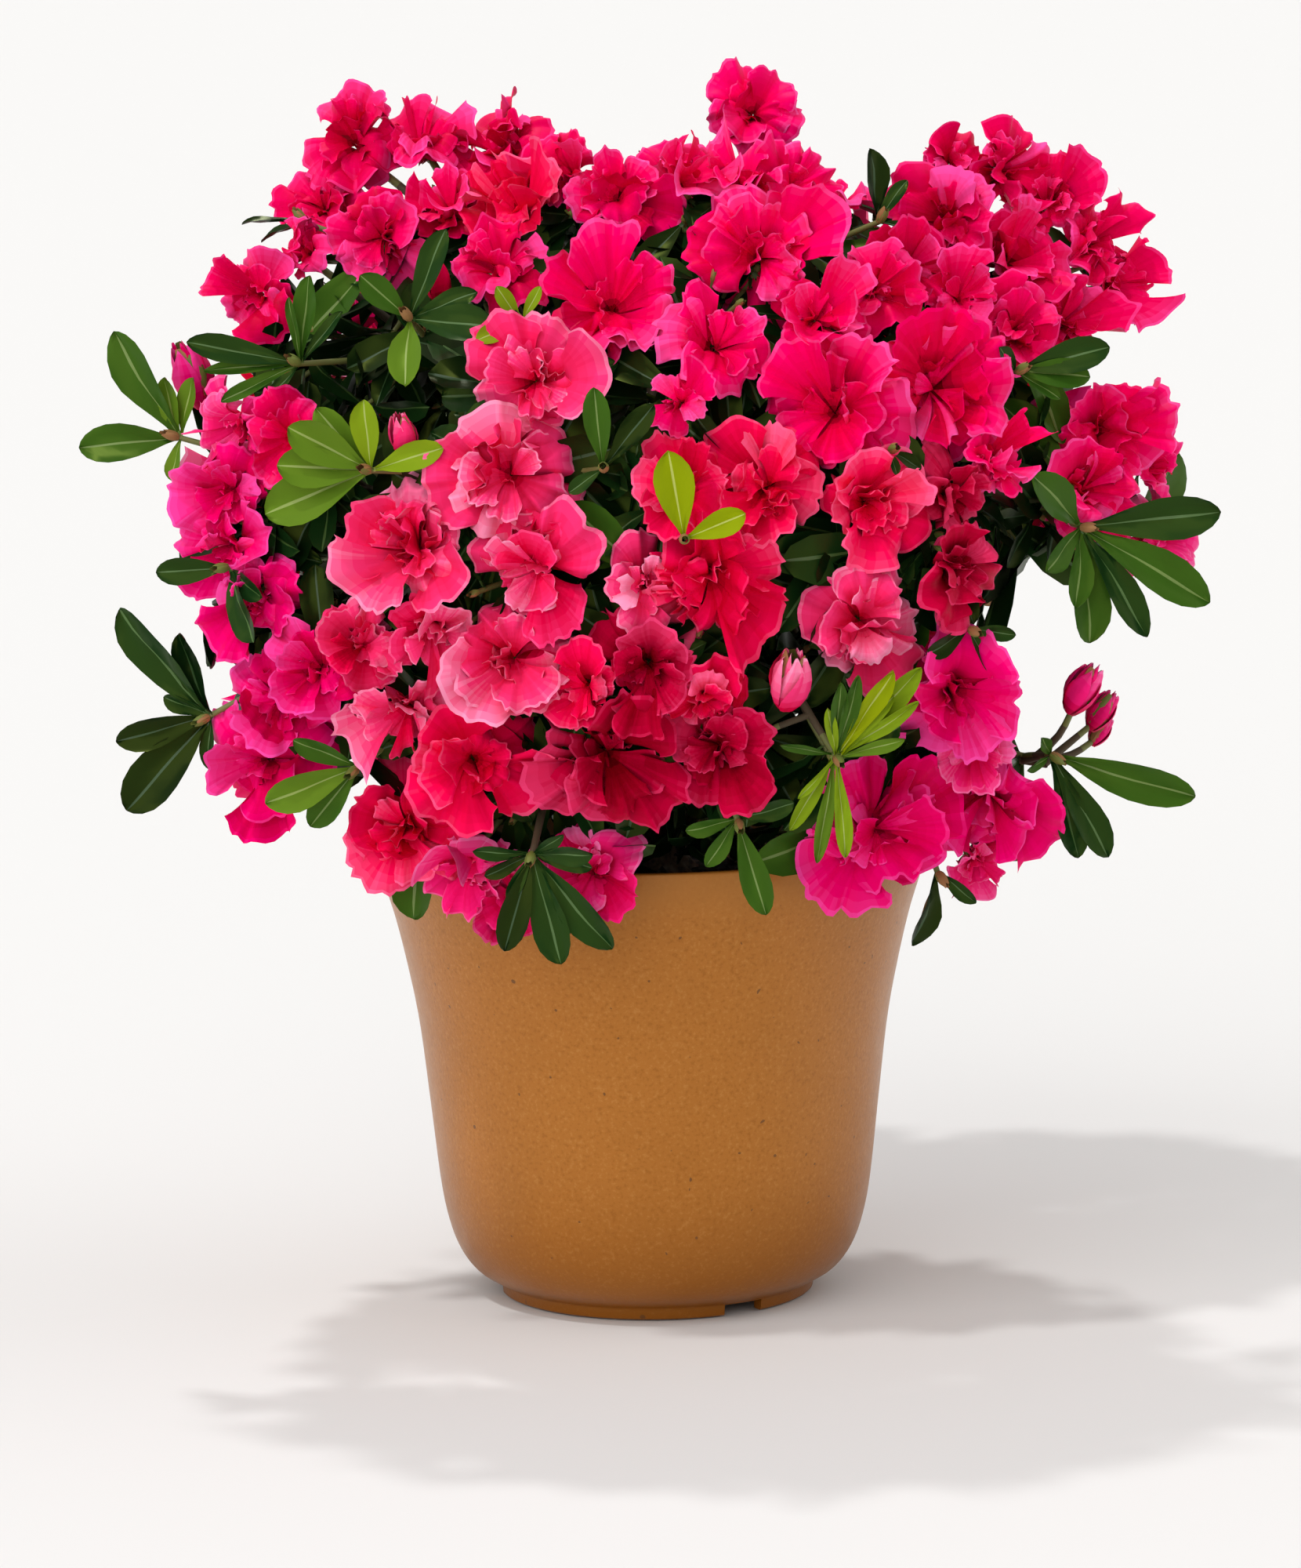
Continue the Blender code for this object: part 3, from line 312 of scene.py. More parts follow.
def rim_height(k, reach):
    """The lobes' tips stand a little above the notches between them."""
    return reach * (NOTCH_DROP if k % 2 else LOBE_RISE)


def blossom_solid(blossom):
    """A shallow cup with five lobes and a raised heart. Each lobe is as long as its space allows."""
    centre, normal, radius = blossom["centre"], blossom["normal"], blossom["radius"]
    side, up = across(normal)
    rim = []
    for k, reach in enumerate(blossom["reach"]):
        flat = turned(side, up, blossom["roll"] + math.tau * k / RIM_POINTS) * reach
        rim.append(centre + flat + normal * rim_height(k, reach))
    points = [*rim, centre - normal * BLOSSOM_DEPTH * radius, centre + normal * HEART_RISE * radius]
    back, front, faces = RIM_POINTS, RIM_POINTS + 1, []
    for tip in range(0, RIM_POINTS, 2):
        before, after = (tip - 1) % RIM_POINTS, tip + 1
        faces += [(back, after, before), (before, after, tip), (front, before, tip), (front, tip, after)]
    return points, faces


def bud_solid(bud):
    """A spindle of eight faces."""
    centre, normal, radius = bud["centre"], bud["normal"], bud["radius"]
    side, up = across(normal)
    ring = [centre + turned(side, up, math.tau * k / BUD_SIDES) * radius for k in range(BUD_SIDES)]
    points = [centre - normal * BUD_BEHIND * radius, *ring, centre + normal * BUD_AHEAD * radius]
    pairs = [(1 + k, 1 + (k + 1) % BUD_SIDES) for k in range(BUD_SIDES)]
    last = BUD_SIDES + 1
    return points, [(0, b, a) for a, b in pairs] + [(last, a, b) for a, b in pairs]


HEAD_SOLIDS = {"blossom": blossom_solid, "bud": bud_solid}


# --- Where everything in the crown goes ----------------------------------------------------------------


def on_dome(x, z):
    """The point of the crown's front at x, z, and the way out of the crown there."""
    height = CROWN_ABOVE if z > HEART.z else CROWN_BELOW
    inside = 1 - (x / CROWN_HALF_WIDTH) ** 2 - ((z - HEART.z) / height) ** 2
    y = -CROWN_HALF_DEPTH * math.sqrt(max(inside, 0.0))
    normal = Vector((x / CROWN_HALF_WIDTH**2, y / CROWN_HALF_DEPTH**2, (z - HEART.z) / height**2))
    return Vector((x, y, z)), normal.normalized()


def blossom_at(place, normal, radius, dice):
    """A blossom that faces a little away from the normal and sits a little in or out of the dome."""
    side, up = across(normal)
    facing = normal + side * dice.uniform(-NOD, NOD) + up * dice.uniform(-NOD, NOD)
    return {
        "kind": "blossom",
        "centre": place - normal * dice.uniform(0, BLOSSOM_DROP),
        "normal": facing.normalized(),
        "radius": float(radius),
        "roll": dice.uniform(0, math.tau),
    }


def seen_way(angle):
    """The direction at an angle in degrees from +X, as it is seen from the front."""
    return Vector((math.cos(math.radians(angle)), 0, math.sin(math.radians(angle))))


def front_mass(name, plan):
    """The blossoms, whorls and buds of a mass, each on the dome at its own place."""
    dice = random.Random(f"{SEED} {name}")
    heads = []
    for place, (x, z, radius) in enumerate(plan["blossoms"]):
        centre, normal = on_dome(x, z)
        forward = (normal + Vector((0, -FORWARD, 0))).normalized()
        heads.append({"place": place, **blossom_at(centre, forward, radius, dice)})
    for place, (x, z, leaves) in enumerate(plan.get("whorls", ())):
        centre, normal = on_dome(x, z)
        ways = []
        for angle, length in leaves:
            flat = seen_way(angle)
            along = flat - normal * min(0.0, flat.dot(normal))
            ways.append((along.normalized() + normal * dice.uniform(*LEAF_RISE), float(length)))
        heads.append({"kind": "whorl", "place": place, "centre": centre, "normal": normal, "ways": ways})
    for x, z, radius in plan.get("buds", ()):
        centre, normal = on_dome(x, z)
        lifted = (normal + Vector((0, 0, BUD_LIFT))).normalized()
        bud = {"kind": "bud", "place": -1, "centre": centre, "normal": lifted}
        heads.append({**bud, "radius": float(radius)})
    return {"name": name, "heads": heads}


def dome_back(point):
    """The point of the crown's back that is in line with a point from its heart, and the way out there."""
    half = Vector((BACK_HALF_WIDTH, BACK_HALF_DEPTH, BACK_ABOVE if point.z > HEART.z else CROWN_BELOW))
    off = point - HEART
    unit = Vector((off.x / half.x, off.y / half.y, off.z / half.z)).normalized()
    return HEART + unit * half, Vector((unit.x / half.x, unit.y / half.y, unit.z / half.z)).normalized()


def back_mass(name, bearing, height, count):
    """Blossoms on a golden-angle spiral over the dome's back, with a whorl of leaves beyond them."""
    dice = random.Random(f"{SEED} {name}")
    above = BACK_ABOVE if height > HEART.z else CROWN_BELOW
    level = math.sqrt(1 - ((height - HEART.z) / above) ** 2)
    turn = math.radians(bearing)
    flat = Vector((BACK_HALF_WIDTH * math.cos(turn), BACK_HALF_DEPTH * math.sin(turn), 0)) * level
    middle, middle_normal = dome_back(HEART + flat + Vector((0, 0, height - HEART.z)))
    middle_side, middle_up = across(middle_normal)
    heads = []
    for k in range(count + 1):
        out, swing = BACK_SPACING * math.sqrt(k + FIRST_TURN), k * GOLDEN_ANGLE
        place, normal = dome_back(middle + turned(middle_side, middle_up, swing) * out)
        if k < count:
            heads.append({"place": k, **blossom_at(place, normal, dice.uniform(*BACK_RADII), dice)})
            continue
        side, up = across(normal)
        first = dice.uniform(0, math.tau)
        ways = []
        for leaf in range(BACK_WHORL):
            spin = first + leaf * math.tau / BACK_WHORL
            way = turned(side, up, spin) + normal * dice.uniform(*LEAF_RISE)
            ways.append((way, dice.uniform(*BACK_LEAVES)))
        heads.append({"kind": "whorl", "place": 0, "centre": place, "normal": normal, "ways": ways})
    return {"name": name, "heads": heads}


def foot_of(head):
    """The point where a head's twig ends, sunk in the head."""
    if head["kind"] == "blossom":
        return head["centre"] - head["normal"] * (BLOSSOM_DEPTH * head["radius"] - TWIG_SUNK)
    if head["kind"] == "bud":
        return head["centre"] - head["normal"] * head["radius"]
    return head["centre"]


def dense(path, step=2.0):
    """Points no further apart than a step along a path."""
    points = [path[0]]
    for a, b in zip(path, path[1:]):
        count = max(1, math.ceil((b - a).length / step))
        points += [a.lerp(b, (i + 1) / count) for i in range(count)]
    return points


def rows_of(points):
    """The points as the rows of an array."""
    return np.array([tuple(p) for p in points])


def distance_between(path, other):
    a, b = rows_of(path), rows_of(other)
    return float(np.linalg.norm(a[:, None] - b[None], axis=2).min())


def trunk_axis(height):
    """The middle of the trunk at a height. It leans further the higher it is."""
    share = (height - TRUNK_FOOT) / TRUNK_HEIGHT
    return LEAN_WAY * TRUNK_LEAN * share**2 + Vector((0, 0, height))


def trunk_radius(height):
    share = (height - TRUNK_FOOT) / TRUNK_HEIGHT
    shares, radii = zip(*TRUNK_TAPER)
    return float(np.interp(share, shares, radii))


def trunk_path():
    """The points of the trunk's axis and its radius at each."""
    path = [trunk_axis(TRUNK_FOOT + share * TRUNK_HEIGHT) for share, _ in TRUNK_TAPER]
    return path, [radius for _, radius in TRUNK_TAPER]


def clears_pot(points, radius):
    """Whether a limb or leaf stays above the mix and passes over the rim."""
    for p in points:
        out = math.hypot(p.x, p.y)
        floor = MIX_TOP + ABOVE_MIX if out < OPENING_RADIUS else POT_HEIGHT + ABOVE_RIM
        if out < RIM_RADIUS + RIM_CLEARANCE and p.z - radius < floor:
            return False
    return True


def clears_trunk(path, radius):
    """Whether the limb stays outside the trunk beyond its own foot, with air between."""
    for p in path:
        if (p - path[0]).length < FOOT_ZONE or p.z > TRUNK_FOOT + TRUNK_HEIGHT + radius + GAP:
            continue
        axis = trunk_axis(min(p.z, TRUNK_FOOT + TRUNK_HEIGHT))
        if math.hypot(p.x - axis.x, p.y - axis.y) < trunk_radius(p.z) + radius + GAP:
            return False
    return True


def leader_path(target, way):
    """The bough that goes on upwards from the trunk's top."""
    start = trunk_axis(TRUNK_FOOT + TRUNK_HEIGHT) + Vector((0, 0, GAP + LEADER_AIR))
    span = (target - start).length
    rise = Vector((0, 0, LEADER_HANDLE * span))
    return smooth_path((start, start + rise, target - way * END_HANDLE * span, target), BOUGH_POINTS)


def bough_path(target, way, height, swing, rise):
    """A bough that leaves the trunk sideways and upwards and comes to its target pointing outwards."""
    axis = trunk_axis(height)
    turn = math.atan2(target.y - axis.y, target.x - axis.x) + swing
    level = Vector((math.cos(turn), math.sin(turn), 0))
    start_way = level * math.cos(rise) + Vector((0, 0, math.sin(rise)))
    gap = trunk_radius(height) + GAP + BOUGH_AIR + BOUGH_FOOT_RADIUS * math.sin(rise)
    start = axis + level * gap
    span = (target - start).length
    controls = (start, start + start_way * FOOT_HANDLE * span, target - way * END_HANDLE * span, target)
    return smooth_path(controls, BOUGH_POINTS)


def grow_boughs(masses):
    """Finds a clear way for each bough, the lowest first, looser with each try."""
    leader = next(mass for mass in masses if mass["name"] == LEADER)
    leader["bough"] = leader_path(leader["hub"], leader["way"])
    placed = [dense(leader["bough"])]
    order = sorted((mass for mass in masses if mass is not leader), key=lambda mass: mass["hub"].z)
    for rank, mass in enumerate(order):
        dice = random.Random(f"{SEED} bough {mass['name']}")
        level = TRUNK_FOOT + LOWEST_BOUGH + (TRUNK_HEIGHT - BOUGHS_SHORT_OF_TOP) * rank / (len(order) - 1)
        climb = math.atan2(mass["hub"].z - level, math.hypot(mass["hub"].x, mass["hub"].y))
        for attempt in range(BOUGH_TRIES):
            loose = attempt / LOOSE_AFTER
            height = level + dice.uniform(-LEVEL_SHIFT, LEVEL_SHIFT) * loose
            height = min(max(height, TRUNK_FOOT + LEAST_LEVEL), TRUNK_FOOT + TRUNK_HEIGHT - BELOW_TOP)
            tilt = min(climb + EXTRA_CLIMB, STEEPEST) * (1 - min(1.0, dice.random() * loose))
            path = bough_path(mass["hub"], mass["way"], height, dice.uniform(-SWING, SWING) * loose, tilt)
            fine = dense(path)
            if not clears_pot(fine, BOUGH_FOOT_RADIUS) or not clears_trunk(fine, BOUGH_FOOT_RADIUS):
                continue
            apart = 2 * BOUGH_FOOT_RADIUS + LIMB_CLEARANCE
            if all(distance_between(fine, other) > apart for other in placed):
                break
        else:
            raise RuntimeError(f"no clear way for the bough of {mass['name']}")
        placed.append(fine)
        mass["bough"] = path


class Taken:
    """The solids that already have their place, for testing a new one against them."""

    def __init__(self):
        self.boxes, self.trees, self.tags = np.empty((MOST_SOLIDS, 6)), [], []

    def add(self, solid, owner, what):
        points, faces = solid
        spots = rows_of(points)
        self.boxes[len(self.trees)] = (*spots.min(axis=0), *spots.max(axis=0))
        self.trees.append(BVHTree.FromPolygons(points, faces))
        self.tags.append((owner, what))

    def meets(self, solid, passes):
        """Whether a solid runs into any other, apart from those whose tags pass."""
        points, faces = solid
        spots = rows_of(points)
        boxes = self.boxes[: len(self.trees)]
        near = ((boxes[:, :3] < spots.max(axis=0)) & (boxes[:, 3:] > spots.min(axis=0))).all(axis=1)
        tree = BVHTree.FromPolygons(points, faces)
        for i in np.flatnonzero(near):
            if not passes(*self.tags[i]) and tree.overlap(self.trees[i]):
                return True
        return False


def spread_petals(masses):
    """Lets each point of a blossom's rim out as far as the planes half-way to other blossoms allow."""
    heads = [head for mass in masses for head in mass["heads"] if head["kind"] != "whorl"]
    centres = np.array([tuple(head["centre"]) for head in heads])
    radii = np.array([head["radius"] for head in heads])
    for i, head in enumerate(heads):
        if head["kind"] == "bud":
            continue
        apart = np.linalg.norm(centres - centres[i], axis=1)
        others = (apart > 0) & (apart < NEAR_BLOSSOM)
        side, up = across(head["normal"])
        head["reach"] = []
        for k in range(RIM_POINTS):
            turn = head["roll"] + math.tau * k / RIM_POINTS
            reach = head["radius"] * (NOTCH_REACH if k % 2 else 1.0) * PETAL_SPREAD
            while True:
                out = turned(side, up, turn) * reach
                tip = head["centre"] + out + head["normal"] * rim_height(k, reach)
                square = np.sum((centres - np.array(tuple(tip))) ** 2, axis=1) - radii**2
                room = (square[others] - square[i]) / (2 * apart[others])
                if room.min(initial=math.inf) > PETAL_GAP and clears_pot([tip], PETAL_ABOVE_POT):
                    break
                reach -= PETAL_STEP * head["radius"]
                if reach < LEAST_PETAL * head["radius"]:
                    break
            head["reach"].append(reach)


def set_hub(mass):
    """Where the mass begins: part of the way from the heart to the middle of its heads."""
    feet = [foot_of(head) for head in mass["heads"]]
    middle = sum(feet, Vector()) / len(feet)
    mass["way"] = (middle - HEART).normalized()
    slight = mass["name"] in BOUGHLESS
    mass["hub"] = HEART.lerp(middle, SLIGHT_REACH if slight else FORK_REACH)
    mass["hub"].z -= BOUGHLESS.get(mass["name"], 0.0)
    mass["hub"].z = max(mass["hub"].z, POT_HEIGHT + HUB_ABOVE_RIM)


def start_stem(mass):
    """The stem goes on from the bough's tip to the fork. A slight sprig's stem comes all the way."""
    begin = mass["bough"][-1]
    way = (mass["bough"][-1] - mass["bough"][-2]).normalized()
    mass["fork"] = begin + way * (STEM_AIR + STEM_LENGTH)
    start = mass["bough"] if mass["name"] in BOUGHLESS else [begin + way * STEM_AIR]
    mass["stem"] = [*start, mass["fork"] + way * STEM_PAST_FORK]
    mass["stem_way"] = way


def stem_radii(mass):
    radius = SLIGHT_RADIUS if mass["name"] in BOUGHLESS else STEM_RADIUS
    return [radius] * len(mass["stem"])


def grow_twigs(mass, taken):
    """A twig to each head, bent until it is clear. A head with no clear twig is dropped.

    The heads furthest to the side have their twigs lowest on the stem.
    """
    fork, way, name = mass["fork"], mass["stem_way"], mass["name"]
    dice = random.Random(f"{SEED} twigs {name}")
    order = sorted(mass["heads"], key=lambda head: (foot_of(head) - fork).normalized().dot(way))
    stay = []
    for rank, head in enumerate(order):
        foot = foot_of(head)
        leaves_at = fork - way * FORK_LENGTH * (1 - (rank + 1) / len(order))
        span = (foot - leaves_at).length
        for attempt in range(TWIG_TRIES):
            shift = Vector([dice.uniform(-1, 1) for _ in range(3)]) * span * TWIG_SHIFT * attempt
            bend = leaves_at.lerp(foot, TWIG_MIDDLE) + (way - head["normal"]) * TWIG_BEND * span + shift
            path = [leaves_at, bend, foot]
            if not clears_pot(dense(path), TWIG_RADIUS):
                continue
            end = bend.lerp(foot, TWIG_TESTED)
            tested = twig_solid([leaves_at, bend, end], [TWIG_RADIUS + CLEARANCE] * 3)
            if not taken.meets(tested, lambda who, what: who == name and (what == "twig" or what is head)):
                break
        else:
            continue
        back = BLOSSOM_LEAF_BACK if head["kind"] == "blossom" else WHORL_BACK
        head["twig"], head["root"] = path, foot - (foot - bend).normalized() * back
        if distance_between([bend], dense([leaves_at, foot], 0.5)) < TWIG_STRAIGHT:
            path = head["twig"] = [leaves_at, foot]
        taken.add(twig_solid(path, [TWIG_RADIUS] * len(path)), name, "twig")
        stay.append(head)
    mass["heads"] = stay


def wanted_leaves(mass):
    """Every leaf that the mass would have if it had the room, each with the head that it grows by."""
    dice = random.Random(f"{SEED} leaves {mass['name']}")
    wanted = []
    lengths = BACK_LEAVES if mass["name"] in BACK else LEAF_LENGTHS
    for head in mass["heads"]:
        if head["kind"] == "whorl":
            wanted += [(head, way, length) for way, length in head["ways"]]
    for head in mass["heads"]:
        if head["kind"] != "blossom" or head["centre"].z > LEAFLESS_ABOVE:
            continue
        side, up = across(head["normal"])
        first = dice.uniform(0, math.tau)
        for k in range(2 if head["radius"] > LEAFY_RADIUS else 1):
            spin = first + k * GOLDEN_ANGLE
            way = turned(side, up, spin) - head["normal"] * dice.uniform(*LEAF_LEAN)
            wanted.append((head, way, dice.uniform(*lengths)))
    return wanted


def in_sky(point):
    """Whether a point fills a gap in the crown, seen from the front."""
    seen = EYE.lerp(point, EYE.y / (EYE.y - point.y))
    return any(((seen.x - x) / wide) ** 2 + ((seen.z - z) / high) ** 2 < 1 for x, z, wide, high in SKY_GAPS)


def leaf_by(head, root, way, length):
    """A leaf that grows by a head of the mass."""
    return {"head": head, "root": root, "ahead": way.normalized(), "up": head["normal"], "length": length}


def grow_leaves(mass, taken):
    """Puts each wanted leaf where it is clear, after a few tries at turning and shortening it."""
    name = mass["name"]
    dice = random.Random(f"{SEED} room {name}")
    mass["leaves"] = []
    for head, way, length in wanted_leaves(mass):
        side, up = across(head["normal"])
        for attempt in range(LEAF_TRIES):
            turn = (side * dice.uniform(-1, 1) + up * dice.uniform(-1, 1)) * LEAF_LOOSENESS * attempt
            leaf = leaf_by(head, head["root"], way + turn, length * (1 - LEAF_SHORTENING * attempt))
            if name in BACK and any(in_sky(leaf["root"] + leaf["ahead"] * length * t) for t in (0.5, 1.0)):
                continue
            wide = leaf_solid(leaf, wider=CLEARANCE)
            blade = leaf_solid(leaf, start=LEAF_FREE_FROM)
            if not clears_pot(wide[0][1:], 0.0) or taken.meets(wide, lambda owner, what: owner == name):
                continue
            if not taken.meets(blade, lambda owner, what: owner != name):
                mass["leaves"].append(leaf)
                taken.add(leaf_solid(leaf), name, "leaf")
                break


def planned_masses():
    """The masses of the front and of the back, each with its heads in their places."""
    masses = [front_mass(name, plan) for name, plan in FRONT.items()]
    return masses + [back_mass(name, *place) for name, place in BACK.items()]


def grow_crown(masses):
    """Gives every mass its bough, stem, twigs, petals and leaves. Returns what space they take."""
    for mass in masses:
        set_hub(mass)
    grow_boughs(masses)
    spread_petals(masses)
    taken = Taken()
    taken.add(twig_solid(*trunk_path(), TRUNK_CORNERS), "trunk", "limb")
    for mass in masses:
        start_stem(mass)
        if mass["name"] not in BOUGHLESS:
            radii = [BOUGH_FOOT_RADIUS] * BOUGH_POINTS
            taken.add(twig_solid(mass["bough"], radii, BOUGH_CORNERS), "bough", "limb")
        taken.add(twig_solid(mass["stem"], stem_radii(mass), STEM_CORNERS), mass["name"], "twig")
        for head in mass["heads"]:
            if head["kind"] != "whorl":
                taken.add(HEAD_SOLIDS[head["kind"]](head), mass["name"], head)
    for mass in masses:
        grow_twigs(mass, taken)
    for mass in masses:
        grow_leaves(mass, taken)
    return taken


# --- Finishes ------------------------------------------------------------------------------------------


class Wire:
    """A node's output. Sums on it add Math nodes."""

    def __init__(self, finish, socket):
        self.finish, self.socket = finish, socket

    def joined(self, operation, first, second=0.0):
        return self.finish.node("ShaderNodeMath", {"operation": operation}, {0: first, 1: second})

    def __add__(self, other):
        return self.joined("ADD", self, other)

    def __mul__(self, other):
        return self.joined("MULTIPLY", self, other)

    def __rsub__(self, other):
        return self.joined("SUBTRACT", other, self)

    __radd__ = __add__
    __rmul__ = __mul__

    def between(self, low, high):
        """0 below the low value, 1 above the high one, and smooth between them."""
        span = {"Value": self, "From Min": low, "From Max": high}
        return self.finish.node("ShaderNodeMapRange", {"interpolation_type": "SMOOTHSTEP"}, span)


class Finish:
    """A material on one Principled shader, whose patterns follow the piece's own coordinates."""

    def __init__(self, name):
        self.material = bpy.data.materials.new(name)
        self.material.use_nodes = True
        self.tree = self.material.node_tree
        self.shader = self.tree.nodes["Principled BSDF"]

    def node(self, kind, settings=None, sockets=None, output=0):
        made = self.tree.nodes.new(kind)
        for name, value in (settings or {}).items():
            setattr(made, name, value)
        for name, value in (sockets or {}).items():
            self.feed(made.inputs[name], value)
        return Wire(self, made.outputs[output])

    def feed(self, socket, value):
        if isinstance(value, Wire):
            self.tree.links.new(value.socket, socket)
        else:
            socket.default_value = value

    def set(self, name, value):
        self.feed(self.shader.inputs[name], value)

    def place(self):
        return self.node("ShaderNodeTexCoord", output="Object")

    def height(self):
        return self.node("ShaderNodeSeparateXYZ", None, {"Vector": self.place()}, "Z")

    def grain(self, size, detail=2.0, stretch=(1, 1, 1)):
        """Noise with features of about a size in metres."""
        place = self.node("ShaderNodeMapping", None, {"Vector": self.place(), "Scale": stretch})
        sockets = {"Vector": place, "Scale": 1 / size, "Detail": detail, "Roughness": 0.6}
        return self.node("ShaderNodeTexNoise", None, sockets)

    def mixed(self, share, first, second):
        made = self.node("ShaderNodeMix", {"data_type": "RGBA"}, None)
        mix = made.socket.node
        for name, value in (("Factor_Float", share), ("A_Color", first), ("B_Color", second)):
            socket = next(s for s in mix.inputs if s.identifier == name)
            self.feed(socket, value)
        return Wire(self, next(s for s in mix.outputs if s.identifier == "Result_Color"))

    def relief(self, height, depth, strength=1.0):
        bump = {"Height": height, "Distance": depth, "Strength": strength}
        self.set("Normal", self.node("ShaderNodeBump", None, bump))


def plain_finish(name, colour, roughness, **others):
    """A finish of one colour, for what is too small to carry a pattern."""
    finish = Finish(name)
    finish.set("Base Color", (*colour, 1))
    finish.set("Roughness", roughness)
    for socket, value in others.items():
        finish.set(socket.replace("_", " "), value)
    return finish.material


CLAY_MIDDLE, CLAY_LOW = (0.385, 0.130, 0.015, 1), (0.23, 0.065, 0.001, 1)
CLAY_PALE = (0.52, 0.23, 0.06, 1)
CLAY_SPECK, CLAY_INSIDE = (0.10, 0.035, 0.012, 1), (0.11, 0.075, 0.022, 1)
CLAY_GLINT = (1.0, 0.80, 0.45, 1)
# The sizes of the pot's patterns, and the heights between which its painted foot shade and its rim change,
# all in metres.
CLAY_GRAIN, CLAY_MOTTLE, CLAY_SPECKS, CLAY_SCUFFS, CLAY_PITS = 0.0011, 0.03, 0.0021, 0.004, 0.0009
FOOT_SHADE, GRAIN_ENDS, RIM_HIGHLIGHT = (0.0, 0.05), (0.115, 0.124), (0.112, 0.126)


def pot_finish():
    """Tan plastic, darker at its foot with painted shade, with a fine grain that fades there and at the
    rim, and a painted highlight at the rim.
    """
    finish = Finish("speckled_tan")
    height = finish.height()
    # Darker towards the foot: painted shade.
    above = height.between(*FOOT_SHADE)
    body = finish.mixed(above, CLAY_LOW, CLAY_MIDDLE)
    grain = finish.grain(CLAY_GRAIN)
    grainy = 1 - height.between(*GRAIN_ENDS) * 0.7
    body = finish.mixed(grain.between(0.54, 0.70) * grainy * (0.10 + above * 0.25), body, CLAY_PALE)
    body = finish.mixed((1 - grain.between(0.32, 0.46)) * grainy * 0.40, body, CLAY_LOW)
    # A paler band at the rim: painted highlight.
    body = finish.mixed(height.between(*RIM_HIGHLIGHT) * 0.12, body, CLAY_PALE)
    body = finish.mixed(finish.grain(CLAY_MOTTLE).between(0.45, 0.75) * 0.12, body, CLAY_LOW)
    body = finish.mixed(finish.grain(CLAY_SPECKS, 0.0).between(0.845, 0.855) * 0.8, body, CLAY_SPECK)
    finish.set("Base Color", body)
    finish.set("Roughness", 0.28 + finish.grain(CLAY_SCUFFS) * 0.14)
    finish.set("Specular IOR Level", 0.6)
    finish.set("Specular Tint", CLAY_GLINT)
    finish.relief(finish.grain(CLAY_PITS), 0.00012, 0.5)
    return finish.material


def inside_finish():
    """The inside of the pot, dull and stained by the mix."""
    finish = Finish("pot_inside")
    stains = finish.grain(STAIN_SIZE).between(0.35, 0.7)
    finish.set("Base Color", finish.mixed(stains, CLAY_INSIDE, CLAY_LOW))
    finish.set("Roughness", 0.7)
    return finish.material


STAIN_SIZE = 0.006
PEAT_SIZE, CRUMB_PATTERN_SIZE, PEAT_RELIEF = 0.004, 0.003, 0.0012
PEAT_DARK, PEAT_BROWN = (0.008, 0.006, 0.004, 1), (0.035, 0.021, 0.012, 1)
PEAT_CHIP = (0.10, 0.062, 0.034, 1)


def peat_finish(name, size):
    """Dark, damp peat with a few paler chips."""
    finish = Finish(name)
    crumbs = finish.grain(size, 4.0)
    body = finish.mixed(crumbs.between(0.40, 0.62), PEAT_DARK, PEAT_BROWN)
    body = finish.mixed(finish.grain(size * 1.7, 1.0).between(0.62, 0.70), body, PEAT_CHIP)
    finish.set("Base Color", body)
    finish.set("Roughness", 0.95)
    finish.relief(crumbs, PEAT_RELIEF)
    return finish.material


BARK_DARK, BARK_BROWN = (0.045, 0.027, 0.016, 1), (0.150, 0.092, 0.050, 1)
BARK_GREY = (0.25, 0.19, 0.13, 1)
BARK_RIDGES, BARK_PATCHES, BARK_RELIEF = 0.0022, 0.006, 0.0006


def bark_finish():
    """Brown bark, dark between its upright ridges, with grey patches."""
    finish = Finish("bark")
    ridges = finish.grain(BARK_RIDGES, 3.0, (1, 1, 0.3))
    body = finish.mixed(ridges.between(0.38, 0.62), BARK_DARK, BARK_BROWN)
    patches = finish.grain(BARK_PATCHES, stretch=(1, 1, 0.5)).between(0.55, 0.75)
    body = finish.mixed(patches, body, BARK_GREY)
    finish.set("Base Color", body)
    finish.set("Roughness", 0.85)
    finish.relief(ridges, BARK_RELIEF, 0.8)
    return finish.material


# --- The studio ----------------------------------------------------------------------------------------

CAMERA_PLACE = (0.0, -2.4, 0.55)
CAMERA_PITCH, CAMERA_ROLL = math.radians(9.66), math.radians(0.75)
IMAGE_HEIGHT, FOCAL_PIXELS, SENSOR_HEIGHT = 2000, 11257, 24.0
FAR_END = 100.0
FLOOR_HALF, FLOOR_DROP = 30.0, 0.0004
FLOOR_WHITE = (0.79, 0.782, 0.772, 1)
SKY_WHITE, SKY_STRENGTH = (1.0, 0.995, 0.985, 1), 0.50
# Each sun: the direction that it shines from, its strength, and its width in the sky in degrees.
SUNS = {
    "high_back": ((-0.12, 0.46, 1.0), 0.80, 3.5),
    "high_front": ((-0.38, -0.36, 1.0), 0.80, 3.5),
    "front": ((-0.58, -1.0, 0.42), 1.7, 75.0),
    "right": ((0.95, 0.0, 0.50), 0.50, 60.0),
}


